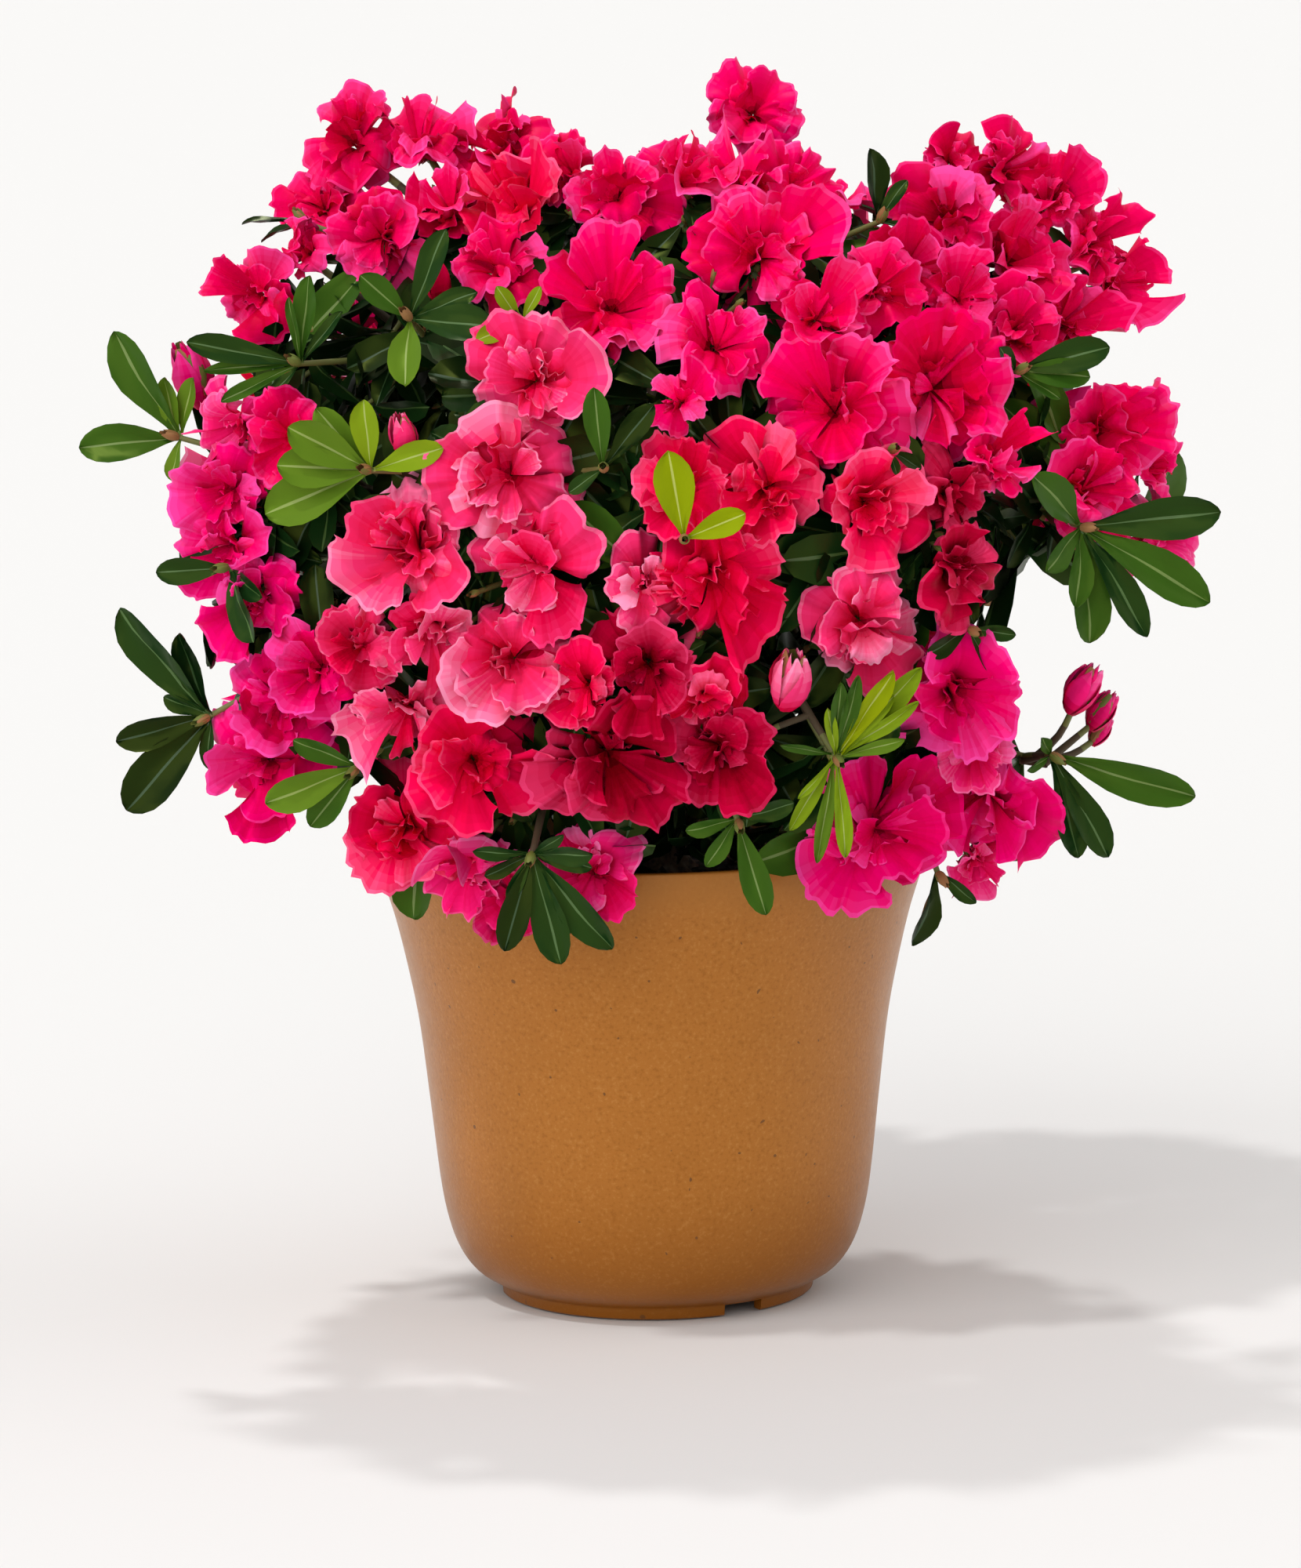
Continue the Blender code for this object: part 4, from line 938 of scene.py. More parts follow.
def make_camera():
    """The camera in front of the shrub, a little above it and looking down."""
    data = bpy.data.cameras.new("camera")
    data.sensor_fit = "VERTICAL"
    data.sensor_height = SENSOR_HEIGHT
    data.lens = FOCAL_PIXELS * SENSOR_HEIGHT / IMAGE_HEIGHT
    data.clip_end = FAR_END
    camera = bpy.data.objects.new("camera", data)
    bpy.context.scene.collection.objects.link(camera)
    look = Matrix.Rotation(math.pi / 2 - CAMERA_PITCH, 4, "X") @ Matrix.Rotation(-CAMERA_ROLL, 4, "Z")
    camera.matrix_world = Matrix.Translation(CAMERA_PLACE) @ look
    bpy.context.scene.camera = camera


def make_lights():
    """The suns and the even light of the sky."""
    for name, (way, strength, width) in SUNS.items():
        data = bpy.data.lights.new(name, "SUN")
        data.energy = strength
        data.angle = math.radians(width)
        light = bpy.data.objects.new(name, data)
        light.rotation_euler = Vector(way).to_track_quat("Z", "Y").to_euler()
        bpy.context.scene.collection.objects.link(light)
    world = bpy.data.worlds.new("studio")
    world.use_nodes = True
    sky = world.node_tree.nodes["Background"]
    sky.inputs["Color"].default_value = SKY_WHITE
    sky.inputs["Strength"].default_value = SKY_STRENGTH
    bpy.context.scene.world = world
    bpy.context.scene.view_settings.view_transform = "Standard"


def make_floor():
    """The pale floor, just under the pot."""
    bpy.ops.object.select_all(action="DESELECT")
    bpy.ops.mesh.primitive_plane_add(size=2 * FLOOR_HALF, location=(0, 0, -FLOOR_DROP))
    floor = bpy.context.object
    floor.name = "floor"
    paint = Finish("floor_white")
    paint.set("Base Color", FLOOR_WHITE)
    paint.set("Roughness", 0.9)
    paint.set("Specular IOR Level", 0.1)
    floor.data.materials.append(paint.material)


# --- Joined meshes -------------------------------------------------------------------------------------


class Bunch:
    """Many small sheets and tubes of one kind, gathered into one mesh with a finish for each face."""

    def __init__(self, name, finishes):
        self.name, self.finishes = name, finishes
        self.points, self.faces, self.tints, self.count = [], [], [], 0

    def add(self, points, faces, tints):
        """Points in millimetres, faces of four corners, and the number of each face's finish."""
        self.points.append(np.reshape(points, (-1, 3)))
        self.faces.append(faces + self.count)
        self.tints.append(np.broadcast_to(tints, len(faces)))
        self.count += len(self.points[-1])

    def made(self, slot, replaced):
        """Makes the mesh and its object, with the body and the solids that it replaces. The slot is not
        used.
        """
        points, faces = np.concatenate(self.points) * MM, np.concatenate(self.faces)
        mesh = bpy.data.meshes.new(self.name)
        mesh.vertices.add(len(points))
        mesh.vertices.foreach_set("co", points.ravel())
        mesh.loops.add(faces.size)
        mesh.loops.foreach_set("vertex_index", faces.ravel())
        mesh.polygons.add(len(faces))
        mesh.polygons.foreach_set("loop_start", np.arange(0, faces.size, 4))
        mesh.polygons.foreach_set("material_index", np.concatenate(self.tints))
        for finish in self.finishes:
            mesh.materials.append(finish)
        mesh.update(calc_edges=True)
        mesh.shade_smooth()
        piece = bpy.data.objects.new(self.name, mesh)
        bpy.context.scene.collection.objects.link(piece)
        settled(piece, replaced)


def settled(piece, replaced):
    """Puts a finished piece under its body and hides the solids that it replaces."""
    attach(piece, "root")
    if replaced:
        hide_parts(*replaced)


def grid_faces(rows, columns, closed=False):
    """The faces of a sheet of points, row by row, or of a tube whose last column meets its first."""
    row, column = np.meshgrid(np.arange(rows - 1), np.arange(columns - (not closed)), indexing="ij")
    near, far, right = row * columns, (row + 1) * columns, (column + 1) % columns
    return np.stack((near + column, near + right, far + right, far + column), axis=-1).reshape(-1, 4)


def array_of(vector):
    return np.array(tuple(vector))


RIDGE_STRETCH, RIDGE_OCTAVES = 0.45, 3


def tube(path, radii, sides, rough=0.0, rough_size=1.0):
    """Rings of points along a path, with the relief of bark where it is asked for."""
    rings = []
    side, _ = across(path[1] - path[0])
    for i, (place, radius) in enumerate(zip(path, radii)):
        ahead = (path[min(i + 1, len(path) - 1)] - path[max(i - 1, 0)]).normalized()
        side = (side - ahead * side.dot(ahead)).normalized()
        up = ahead.cross(side)
        for k in range(sides):
            out = turned(side, up, math.tau * k / sides)
            spot = (place * RIDGE_STRETCH + out * radius) / rough_size
            swell = rough * noise.fractal(spot, 1.0, 2.0, RIDGE_OCTAVES) if rough else 0.0
            rings.append(place + out * radius * (1 + swell))
    return rows_of(rings)


def curved(path, count):
    """Even samples of the smooth curve through the points of a path."""
    if len(path) == 2:
        return [path[0].lerp(path[1], i / (count - 1)) for i in range(count)]
    ends = [path[0] * 2 - path[1], *path, path[-1] * 2 - path[-2]]
    samples = []
    for i in range(count):
        where = min(i / (count - 1) * (len(path) - 1), len(path) - 1 - 1e-6)
        k, t = int(where), where - int(where)
        a, b, c, d = ends[k : k + 4]
        bend = (c - a) * t + (a * 2 - b * 5 + c * 4 - d) * t**2 + (b * 3 - a - c * 3 + d) * t**3
        samples.append(b + bend * 0.5)
    return samples


def wrapped(centre, axis, out, angle, high):
    """Points round an axis, each at its own distance, angle and height."""
    side, up = (array_of(way) for way in across(axis))
    flat = out[..., None] * (np.cos(angle)[..., None] * side + np.sin(angle)[..., None] * up)
    return array_of(centre) + flat + high[..., None] * array_of(axis)


def laid_out(root, *legs):
    """Points off a root, by their own amounts along several directions."""
    sheet = array_of(root)
    for way, amount in legs:
        sheet = sheet + amount[..., None] * array_of(way)
    return sheet


def tapered(thick, thin, count):
    """Even steps from a thick radius to a thin one."""
    return [thick + (thin - thick) * i / (count - 1) for i in range(count)]


# --- Petals --------------------------------------------------------------------------------------------

# The tones of the blossoms, from the throat over the blade to the rim.
# Their dark throat stop is partly painted shade, and their pale rim stop is partly a painted highlight.
TONES = {
    "crimson": ((0.16, 0.0, 0.003), (0.62, 0.0, 0.036), (0.85, 0.0, 0.105), (0.98, 0.070, 0.350)),
    "cerise": ((0.21, 0.0, 0.006), (0.74, 0.0, 0.052), (0.94, 0.0, 0.140), (0.99, 0.105, 0.410)),
    "scarlet": ((0.19, 0.0, 0.002), (0.66, 0.0, 0.025), (0.90, 0.002, 0.084), (0.99, 0.120, 0.280)),
    "coral": ((0.32, 0.0, 0.010), (0.78, 0.0, 0.060), (0.93, 0.038, 0.190), (0.99, 0.320, 0.520)),
    "magenta": ((0.22, 0.0, 0.014), (0.67, 0.0, 0.068), (0.87, 0.0, 0.158), (0.96, 0.075, 0.400)),
    # This darkest tone is a shaded copy of the pinks: painted shade for blossoms that lie in shade.
    "shaded_pink": ((0.07, 0.0, 0.001), (0.29, 0.0, 0.008), (0.52, 0.0, 0.036), (0.78, 0.045, 0.160)),
    "rose": ((0.30, 0.0, 0.022), (0.76, 0.0, 0.084), (0.94, 0.014, 0.205), (0.99, 0.200, 0.480)),
}
TONE_SHARES = (0.0, 0.30, 0.65, 1.0)
STEPS = 20  # finishes of each tone
PETAL_ROUGHNESS = 0.5
PETAL_GLOSS = {"Specular_Tint": (1.0, 0.05, 0.28, 1), "Specular_IOR_Level": 0.14}

# The tone of each front mass, and of single blossoms that differ from it, by their place in its list. The
# darkest tone among them is painted shade.
MASS_TONES = {
    "crest_left": "crimson",
    "shoulder_left": "crimson",
    "peak": "cerise",
    "brow": "cerise",
    "crest_right": "crimson",
    "cheek_right": "cerise",
    "right": "cerise",
    "left": "magenta",
    "mid_left": "coral",
    "heart": "scarlet",
    "mid_right": "scarlet",
    "low_right": "magenta",
    "coral": "coral",
    "low_left": "magenta",
    "rim_left": "scarlet",
    "low_centre": "shaded_pink",
    "rim_front": "rose",
    "shoot": "coral",
    "bud_sprig": "rose",
}
OTHER_TONES = {
    ("mid_right", 1): "shaded_pink",
    ("mid_right", 2): "shaded_pink",
    ("mid_right", 3): "coral",
    ("heart", 3): "coral",
    ("right", 2): "rose",
    ("low_right", 1): "rose",
    ("left", 4): "crimson",
    ("left", 0): "rose",
    ("low_left", 3): "coral",
    ("rim_left", 0): "coral",
    ("crest_left", 5): "scarlet",
    ("low_centre", 4): "scarlet",
    ("low_centre", 2): "scarlet",
    ("low_right", 4): "rose",
}
BACK_TONES = ("crimson", "cerise", "magenta", "coral", "scarlet", "rose")

# A whorl of petals: their number, their length as a share of the blossom's reach, how far they rise and
# turn back towards the rim, a petal's half angle in degrees, how far it strays from its place, the height
# of its waves and of its frill, and how sharply it is folded along its middle.
OUTER = {"count": 5, "size": (0.84, 1.26), "lift": (-0.15, 0.60), "turn_back": (0.0, 0.55),
         "half": (38.0, 60.0), "stray": 0.34, "wave": (0.14, 0.32), "frill": 0.042, "fold": (-0.36, 0.50)}
INNER = {"count": 5, "size": (0.50, 1.04), "lift": (0.15, 1.10), "turn_back": (0.0, 0.90),
         "half": (32.0, 58.0), "stray": 0.70, "wave": (0.16, 0.34), "frill": 0.050, "fold": (-0.45, 0.70)}
FINE, COARSE = (10, 31), (7, 13)  # rows and columns of a petal's points
RIM_SHARE = 0.05  # how much of a petal's length the row of faces along its rim takes
BASE_HALF = math.radians(34.0)
FUNNEL_DEPTH = 0.46
SET_BACK = 0.16  # how far a blossom's heart lies behind its place, as a share of its radius
SINGLE_RADIUS = 7.5  # a blossom up to this radius has no inner petals
SMALL_RADIUS, LARGE_RADIUS, SMALL_SPREAD = 9.0, 17.0, 0.16  # small blossoms spread further into each other
EDGE_SHRINK, EDGE_TURN = 0.13, 0.36  # those at the crown's edge spread less, and turn to the front
# How far a blossom faces the front where each of the two comes in and fades.
SHRINK_BETWEEN, TURN_BETWEEN = (0.5, 0.9), (0.0, 0.3, 0.5, 0.9)
FULLER = {"crest_left": 1.10, "crest_right": 1.04, "peak": 1.05}  # masses whose blossoms spread further
TURN_AWAY = 0.32  # how far a blossom's petals turn from the way that its solid faces
# The largest blossoms have finer ripples, a smaller middle, and turn more to the front.
LARGE_RADII, MORE_RIPPLES, LESS_INNER, LARGE_TURN = (13.0, 20.0), 0.5, 0.26, 0.7
# The heart's folded petals: their count, their count in a small blossom, their sizes, and how much darker
# their tints are as painted shade in the crowded middle.
HEART_PETALS, SMALL_HEART_PETALS, HEART_SIZES, HEART_PAINTED_SHADE = (7, 11), 5, (0.40, 0.90), 0.05

# A petal's relief: the half waves of its broad pleats, its frill and its length, and its twist.
PLEATS, FRILLS, SWAYS, TWIST = (1.2, 2.2), (3.2, 5.0), (1.0, 1.8), 0.22
# Its rim: the scallops' depth and half waves, the range and half width of its notch, and its skew.
SCALLOP, SCALLOPS, NOTCH, NOTCH_HALF, SKEW = 0.030, (4.5, 7.5), (-0.06, 0.08), 0.25, 0.10
CHANNEL, CHANNEL_HALF = (0.02, 0.10), 0.15  # along its middle
# A folded petal's lean, turn about its length, fold, curl and half waves.
LEANS, SPIN, FOLDS, CURL, CRINKLES = (0.2, 1.10), 0.9, (0.10, 1.0), 0.50, (2.0, 3.5)
# A petal's random step lighter or darker is painted light and shade; the streaks are its veins, and the
# middle tints set how far up the ramp its blade comes.
PAINTED_LIGHT_STEP, STREAK_TINT, MIDDLE_TINTS = 0.10, 0.028, (0.36, 0.58)


def petal_grid(rows, columns):
    """Shares of a petal's length, with a thin last row along its rim, and of its half width."""
    v = np.append(np.linspace(0, 1 - RIM_SHARE, rows - 1), 1.0)[:, None]
    return v, np.linspace(-1, 1, columns)[None, :]


def phase(dice):
    """Where a wave begins."""
    return dice.uniform(0, 6)


def petal_waves(u, v, dice, wave, frill, ripples):
    """How far a petal's points stand off its plane: broad pleats, and a frill that grows to the rim."""
    broad = math.pi * dice.uniform(*PLEATS) * ripples
    fine = math.pi * dice.uniform(*FRILLS) * ripples
    edge = 0.55 * v**1.6 + 0.45 * np.abs(u) ** 3 * v
    high = wave * edge * np.sin(broad * u + dice.uniform(0, math.tau) + dice.uniform(-0.8, 0.8) * v)
    ruffle = frill * v**5 * (1 + 0.5 * np.sin(2 * u + phase(dice)))
    high += ruffle * np.sin(fine * u + phase(dice))
    return high + 0.5 * wave * np.sin(math.pi * v * dice.uniform(*SWAYS) + phase(dice)) * v


def largeness(head):
    """From 0 for a middling blossom to 1 for the largest."""
    return float(np.interp(head["radius"], LARGE_RADII, (0, 1)))


def petal_sheet(head, face, turn, reach, kind, grid, dice):
    """One petal as rows and columns of points, from the throat to the frilled rim."""
    v, u = petal_grid(*grid)
    lift, back = dice.uniform(*kind["lift"]), dice.uniform(*kind["turn_back"])
    fold, twist = dice.uniform(*kind["fold"]), dice.uniform(-TWIST, TWIST)
    half = math.radians(dice.uniform(*kind["half"]))
    spread = BASE_HALF + (half - BASE_HALF) * v
    scallop = SCALLOP * v**5 * np.sin(math.pi * dice.uniform(*SCALLOPS) * u + phase(dice))
    scallop = scallop * (1 + 0.6 * np.sin(3 * u + phase(dice)))
    notch = dice.uniform(*NOTCH) * np.exp(-((u / NOTCH_HALF) ** 2))
    skew = dice.uniform(-SKEW, SKEW) * u
    outline = 1 - (0.34 * np.abs(u) ** 2.6 + notch + skew) * v**2 + scallop
    out = reach * (0.02 + 0.98 * v**1.1) * outline
    high = -FUNNEL_DEPTH * (1 - v) ** 1.6 + lift * v**1.2 - back * v**3.0
    high = high + fold * np.abs(u) ** 1.4 * v**1.3 + twist * u * v**1.3
    high = high - dice.uniform(*CHANNEL) * np.exp(-((u / CHANNEL_HALF) ** 2)) * v * (1.2 - v)
    ripples = 1 + MORE_RIPPLES * largeness(head)
    high = (high + petal_waves(u, v, dice, dice.uniform(*kind["wave"]), kind["frill"], ripples)) * reach
    angle = turn + u * spread + 0.05 * v**2 * np.sin(3 * math.pi * u + phase(dice))
    return wrapped(head["centre"], face, out, angle, high)


def petal_tints(grid, dice, depth=0.0):
    """Deep in the throat and lighter towards the rim, in part painted shade and highlight, with streaks
    that run out along the blade.
    """
    rows, columns = grid
    v = (np.arange(rows - 1)[:, None] + 0.5) / (rows - 1)
    own, middle = dice.gauss(0, PAINTED_LIGHT_STEP), dice.uniform(*MIDDLE_TINTS)
    share = middle * np.minimum(v / 0.32, 1.0) ** 0.8 + (1 - middle) * 0.62 * v**2.5 + own - depth
    streaks = np.array([dice.gauss(0, STREAK_TINT) for _ in range(columns - 1)])[None, :]
    share = share + streaks * np.minimum(1.6 * v, 1.0)
    # The last row along the rim a step paler: painted highlight.
    share[-1] += 0.10
    return np.clip(np.rint(share * (STEPS - 1)), 0, STEPS - 1).astype(int).ravel()


def folded_petal(head, face, size, dice, grid):
    """A small petal of the crowded centre: folded along its middle and standing up at a slant."""
    v, u = petal_grid(*grid)
    side, up = across(face)
    turn, lean = dice.uniform(0, math.tau), dice.uniform(*LEANS)
    out = turned(side, up, turn)
    ahead = turned(face, out, lean)
    spin = Matrix.Rotation(dice.uniform(-SPIN, SPIN), 3, ahead)
    wide = spin @ ahead.cross(out).normalized()
    front = wide.cross(ahead)
    fold = dice.uniform(*FOLDS)
    width = size * (0.16 + 0.50 * np.sin(math.pi * np.minimum(v * 0.62 + 0.05, 1.0)))
    curl = dice.uniform(-CURL, CURL)
    across_it = width * u * math.cos(fold) + 0.05 * size * v * np.sin(9 * v + phase(dice))
    off = width * np.abs(u) * math.sin(fold) + curl * size * v**2
    off = off + 0.09 * size * v**2 * np.sin(math.pi * dice.uniform(*CRINKLES) * u + phase(dice))
    long = size * (v - 0.16 * np.abs(u) ** 2.2 * v)
    root = head["centre"] - face * (0.40 * head["radius"]) + out * dice.uniform(0, 0.15) * head["radius"]
    return laid_out(root, (ahead, long), (wide, across_it), (front, off))


POT_WALL_GAP = 1.2
NEAR_WALL = 0.8  # as a share of the wall's radius: what is further in lies on the rim's level


def off_pot(points):
    """Petals that would run into the pot lie over its rim or rest on it."""
    flat = np.hypot(points[..., 0], points[..., 1])
    heights, radii = zip(*[(z, r) for r, z in (*POT_OUTLINE, (RIM_RADIUS, POT_HEIGHT))])
    wall = np.interp(points[..., 2], heights, radii) + POT_WALL_GAP
    inside = (points[..., 2] < POT_HEIGHT + POT_WALL_GAP) & (flat < wall)
    push = np.where(inside & (flat > NEAR_WALL * wall), wall / np.maximum(flat, 1), 1.0)
    points[..., 0] *= push
    points[..., 1] *= push
    lying = inside & (flat <= NEAR_WALL * wall)
    points[..., 2] = np.where(lying, POT_HEIGHT + POT_WALL_GAP, points[..., 2])
    return points


def seat_of(head):
    """The middle of a blossom's petals, a little behind the place of its solid."""
    return head["centre"] - head["normal"] * SET_BACK * head["radius"]


def add_blossom(bunch, head, grid, fuller, dice):
    """Outer petals, inner ones between them, and the folded ones at the heart."""
    faces = grid_faces(*grid)
    side, up = across(head["normal"])
    astray = TURN_AWAY * (1 - largeness(head))
    face = head["normal"] + side * dice.gauss(0, astray) + up * dice.gauss(0, astray)
    face += Vector((0, -LARGE_TURN * largeness(head), 0))
    edge = float(np.interp(-head["normal"].y, TURN_BETWEEN, (0, 1, 1, 0)))
    face = (face + Vector((0, -EDGE_TURN * edge, 0))).normalized()
    seat = {**head, "centre": seat_of(head)}
    spread = 1 + SMALL_SPREAD * float(np.interp(head["radius"], (SMALL_RADIUS, LARGE_RADIUS), (1, 0)))
    spread *= (1 - EDGE_SHRINK * float(np.interp(abs(head["normal"].y), SHRINK_BETWEEN, (1, 0)))) * fuller
    for kind in (OUTER, INNER) if head["radius"] > SINGLE_RADIUS else (OUTER,):
        inner = kind is INNER
        for k in range(kind["count"]):
            room = head["reach"][2 * k] if not inner else head["reach"][2 * k + 1] / NOTCH_REACH
            room *= 1 - LESS_INNER * largeness(head) if inner else 1.0
            turn = head["roll"] + math.tau * (k + 0.5 * inner) / kind["count"]
            turn += dice.uniform(-kind["stray"], kind["stray"])
            reach = room * spread * dice.uniform(*kind["size"])
            sheet = petal_sheet(seat, face, turn, reach, kind, grid, dice)
            bunch.add(off_pot(sheet), faces, petal_tints(grid, dice))
    small = (max(grid[0] - 3, 5), max(grid[1] // 2, 5))
    small_faces = grid_faces(*small)
    for _ in range(dice.randint(*HEART_PETALS) if head["radius"] > SMALL_RADIUS else SMALL_HEART_PETALS):
        size = head["radius"] * dice.uniform(*HEART_SIZES)
        sheet = folded_petal(seat, face, size, dice, small)
        # The heart's folded petals are tinted darker: painted shade.
        bunch.add(off_pot(sheet), small_faces, petal_tints(small, dice, HEART_PAINTED_SHADE))


BUD_PETALS, BUD_GRID = 8, (8, 7)


def add_bud(bunch, bud, dice):
    """A furled bud: narrow petals wound round its axis, the outer ones a little open."""
    faces, radius = grid_faces(*BUD_GRID), bud["radius"]
    v, u = petal_grid(*BUD_GRID)
    for k in range(BUD_PETALS):
        open_by = 0.5 + 0.55 * k / BUD_PETALS
        turn = k * GOLDEN_ANGLE + u * 1.15 * (1 - 0.85 * v**3) + 0.8 * v
        swell = np.sin(math.pi * (0.08 + 0.74 * v) ** 0.9) ** 0.8
        out = radius * open_by * swell * (1 + 0.08 * np.sin(5 * u + k)) + 0.10 * radius * v * u
        high = radius * (-BUD_BEHIND + (3.6 - 0.7 * open_by) * v * (1 - 0.06 * u**2)) + 0 * u
        sheet = wrapped(bud["centre"], bud["normal"], out, turn, high)
        bunch.add(sheet, faces, petal_tints(BUD_GRID, dice))


def tone_of(mass, place, dice):
    """The tone of a blossom or bud, by its place in the mass's list."""
    if mass["name"] in BACK:
        return dice.choice(BACK_TONES)
    return OTHER_TONES.get((mass["name"], place), MASS_TONES[mass["name"]])


def make_blossoms(masses):
    """All petals, joined by their tone, with a finish for each step from its throat to its rim."""
    bunches, held = {}, {tone: set() for tone in TONES}
    for tone, stops in TONES.items():
        finishes = []
        for step in range(STEPS):
            share = step / (STEPS - 1)
            colour = tuple(float(np.interp(share, TONE_SHARES, channel)) for channel in zip(*stops))
            finishes.append(plain_finish(f"{tone}_{step}", colour, PETAL_ROUGHNESS, **PETAL_GLOSS))
        bunches[tone] = Bunch(f"blossoms_{tone}", finishes)
    for mass in masses:
        dice = random.Random(f"{SEED} petals {mass['name']}")
        for head in mass["heads"]:
            if head["kind"] == "whorl":
                continue
            tone = tone_of(mass, head["place"], dice)
            held[tone].add("mass_" + mass["name"])
            if head["kind"] == "bud":
                add_bud(bunches[tone], head, dice)
            else:
                grid, fuller = COARSE if mass["name"] in BACK else FINE, FULLER.get(mass["name"], 1.0)
                add_blossom(bunches[tone], head, grid, fuller, dice)
    for tone, bunch in bunches.items():
        bunch.made("blossom", sorted(held[tone]))


# --- Leaves --------------------------------------------------------------------------------------------

# The "shade" tone is a darker copy of the dark green: painted shade, for leaves deep in the crown and under
# the blossoms.
LEAF_TONES = {
    "shade": ((0.003, 0.013, 0.003), 0.30),
    "dark": ((0.008, 0.034, 0.007), 0.28),
    "green": ((0.030, 0.088, 0.008), 0.32),
    "spring": ((0.095, 0.180, 0.012), 0.36),
    "fresh": ((0.190, 0.285, 0.008), 0.40),
    "lime": ((0.245, 0.305, 0.001), 0.44),
}
RIB_TONES = {
    "shade": (0.020, 0.060, 0.010),
    "dark": (0.060, 0.130, 0.024),
    "green": (0.140, 0.220, 0.040),
    "spring": (0.240, 0.330, 0.060),
    "fresh": (0.340, 0.420, 0.080),
    "lime": (0.450, 0.500, 0.080),
}
LEAF_GLOSS = {"Specular_IOR_Level": 0.24, "Specular_Tint": (0.80, 1.0, 0.15, 1)}
LEAF_ORDER = tuple(LEAF_TONES)
# The mix of tones in the front's whorls, by their mass and their place in its list, and then how wide their
# leaves are. The others take the plain tones and widths.
WHORL_TONES = {
    ("shoulder_left", 0): ("green", "dark", "green"),
    ("shoulder_left", 1): ("green", "spring", "dark"),
    ("brow", 0): ("fresh", "fresh", "green"),
    ("left", 0): ("green", "spring", "green"),
    ("mid_left", 0): ("spring", "fresh", "spring"),
    ("heart", 0): ("lime",),
    ("rim_left", 0): ("spring", "green"),
    ("right", 0): ("dark", "green"),
    ("low_left", 0): ("dark", "dark", "shade"),
    ("low_centre", 0): ("dark", "green"),
    ("rim_front", 0): ("dark", "shade", "dark"),
    ("shoot", 0): ("fresh", "spring", "fresh", "lime", "green"),
    ("bud_sprig", 0): ("green", "dark"),
    ("crest_right", 0): ("fresh", "green"),
    ("crest_right", 1): ("green", "dark"),
}
WHORL_WIDTHS = {
    ("shoot", 0): (0.42, 0.66),
    ("heart", 0): (1.20, 1.35),
    ("right", 0): (0.70, 1.20),
    ("left", 0): (0.80, 1.20),
    ("low_left", 0): (0.92, 1.20),
    ("mid_left", 0): (1.00, 1.35),
    ("shoulder_left", 0): (0.45, 0.85),
    ("bud_sprig", 0): (0.75, 1.00),
    ("rim_front", 0): (0.66, 0.95),
}
# Whorls whose leaves stand out by some millimetres in front of the blossoms.
RAISED = {("heart", 0): 9.0, ("rim_front", 0): 3.0}
RAISED_LENGTH = 0.88  # of the solid leaf's, as they come nearer
LEAF_ROLL = 1.0  # how much the blades of the front whorls roll to show their faces to the front
# More leaves in the fullest whorls, as degrees seen from the front and lengths in millimetres.
EXTRA_LEAVES = {
    ("shoot", 0): ((108, 17), (88, 27), (70, 31), (58, 24), (41, 27), (20, 19), (-88, 27), (-140, 15)),
    ("rim_front", 0): ((168, 16), (200, 14), (22, 19), (48, 13)),
}
EXTRA_RISE = 0.28
PLAIN_TONES = ("dark", "dark", "shade", "green")
PLAIN_WIDTHS, BENDS = (0.85, 1.30), (0.02, 0.20)
# The rows along a blade and the columns across it, those of the midrib in the middle.
STATIONS = (0.0, 0.06, 0.15, 0.28, 0.43, 0.58, 0.72, 0.84, 0.93, 0.98, 1.0)
COLUMNS = (-1.0, -0.55, -0.06, 0.06, 0.55, 1.0)
INNER_STATIONS, INNER_COLUMNS = (0.0, 0.10, 0.30, 0.55, 0.78, 0.93, 1.0), (-1.0, -0.07, 0.07, 1.0)
BLADE_WIDTH, STALK_WIDTH, LEAST_HALF = 0.34, 0.045, 0.004  # of its length
CUPPING, RIPPLE = 0.42, 0.02
RIB_ROUGHNESS = 0.5
BASE_FULLNESS, TIP_FULLNESS = 1.30, 0.62  # the smaller, the rounder


def blade_outline(t):
    """The blade's half width along its length, 1 at its widest."""
    widest = BASE_FULLNESS / (BASE_FULLNESS + TIP_FULLNESS)
    return (t / widest) ** BASE_FULLNESS * ((1 - t) / (1 - widest)) ** TIP_FULLNESS


def leaf_sheet(leaf, stations, columns):
    """A blade with its stalk, a channelled midrib, a bend along its length and a slight wave."""
    ahead, side, top = leaf_frame(leaf)
    t, c = np.array(stations)[:, None], np.array(columns)[None, :]
    length, bend = leaf["length"], leaf["bend"]
    blade = blade_outline(t) * 0.5 * BLADE_WIDTH * leaf["width"]
    half = np.maximum(blade, STALK_WIDTH * (1 - t) * 0.5 + LEAST_HALF)
    ripple = RIPPLE * np.sin(9 * t + 7 * c + length)
    high = length * (CUPPING * half * np.abs(c) ** 1.5 - bend * t**2 + ripple)
    long = length * (t - 0.10 * bend * t**2)
    return laid_out(leaf["root"], (ahead, long), (side, c * half * length), (top, high))


def leaf_tints(tone, stations, columns):
    """The blade's finish, with the midrib's paler one up its middle."""
    number = 2 * LEAF_ORDER.index(tone)
    tints = np.full((len(stations) - 1, len(columns) - 1), number)
    tints[:, len(columns) // 2 - 1] = number + 1
    tints[:1] = number + 1
    return tints.ravel()


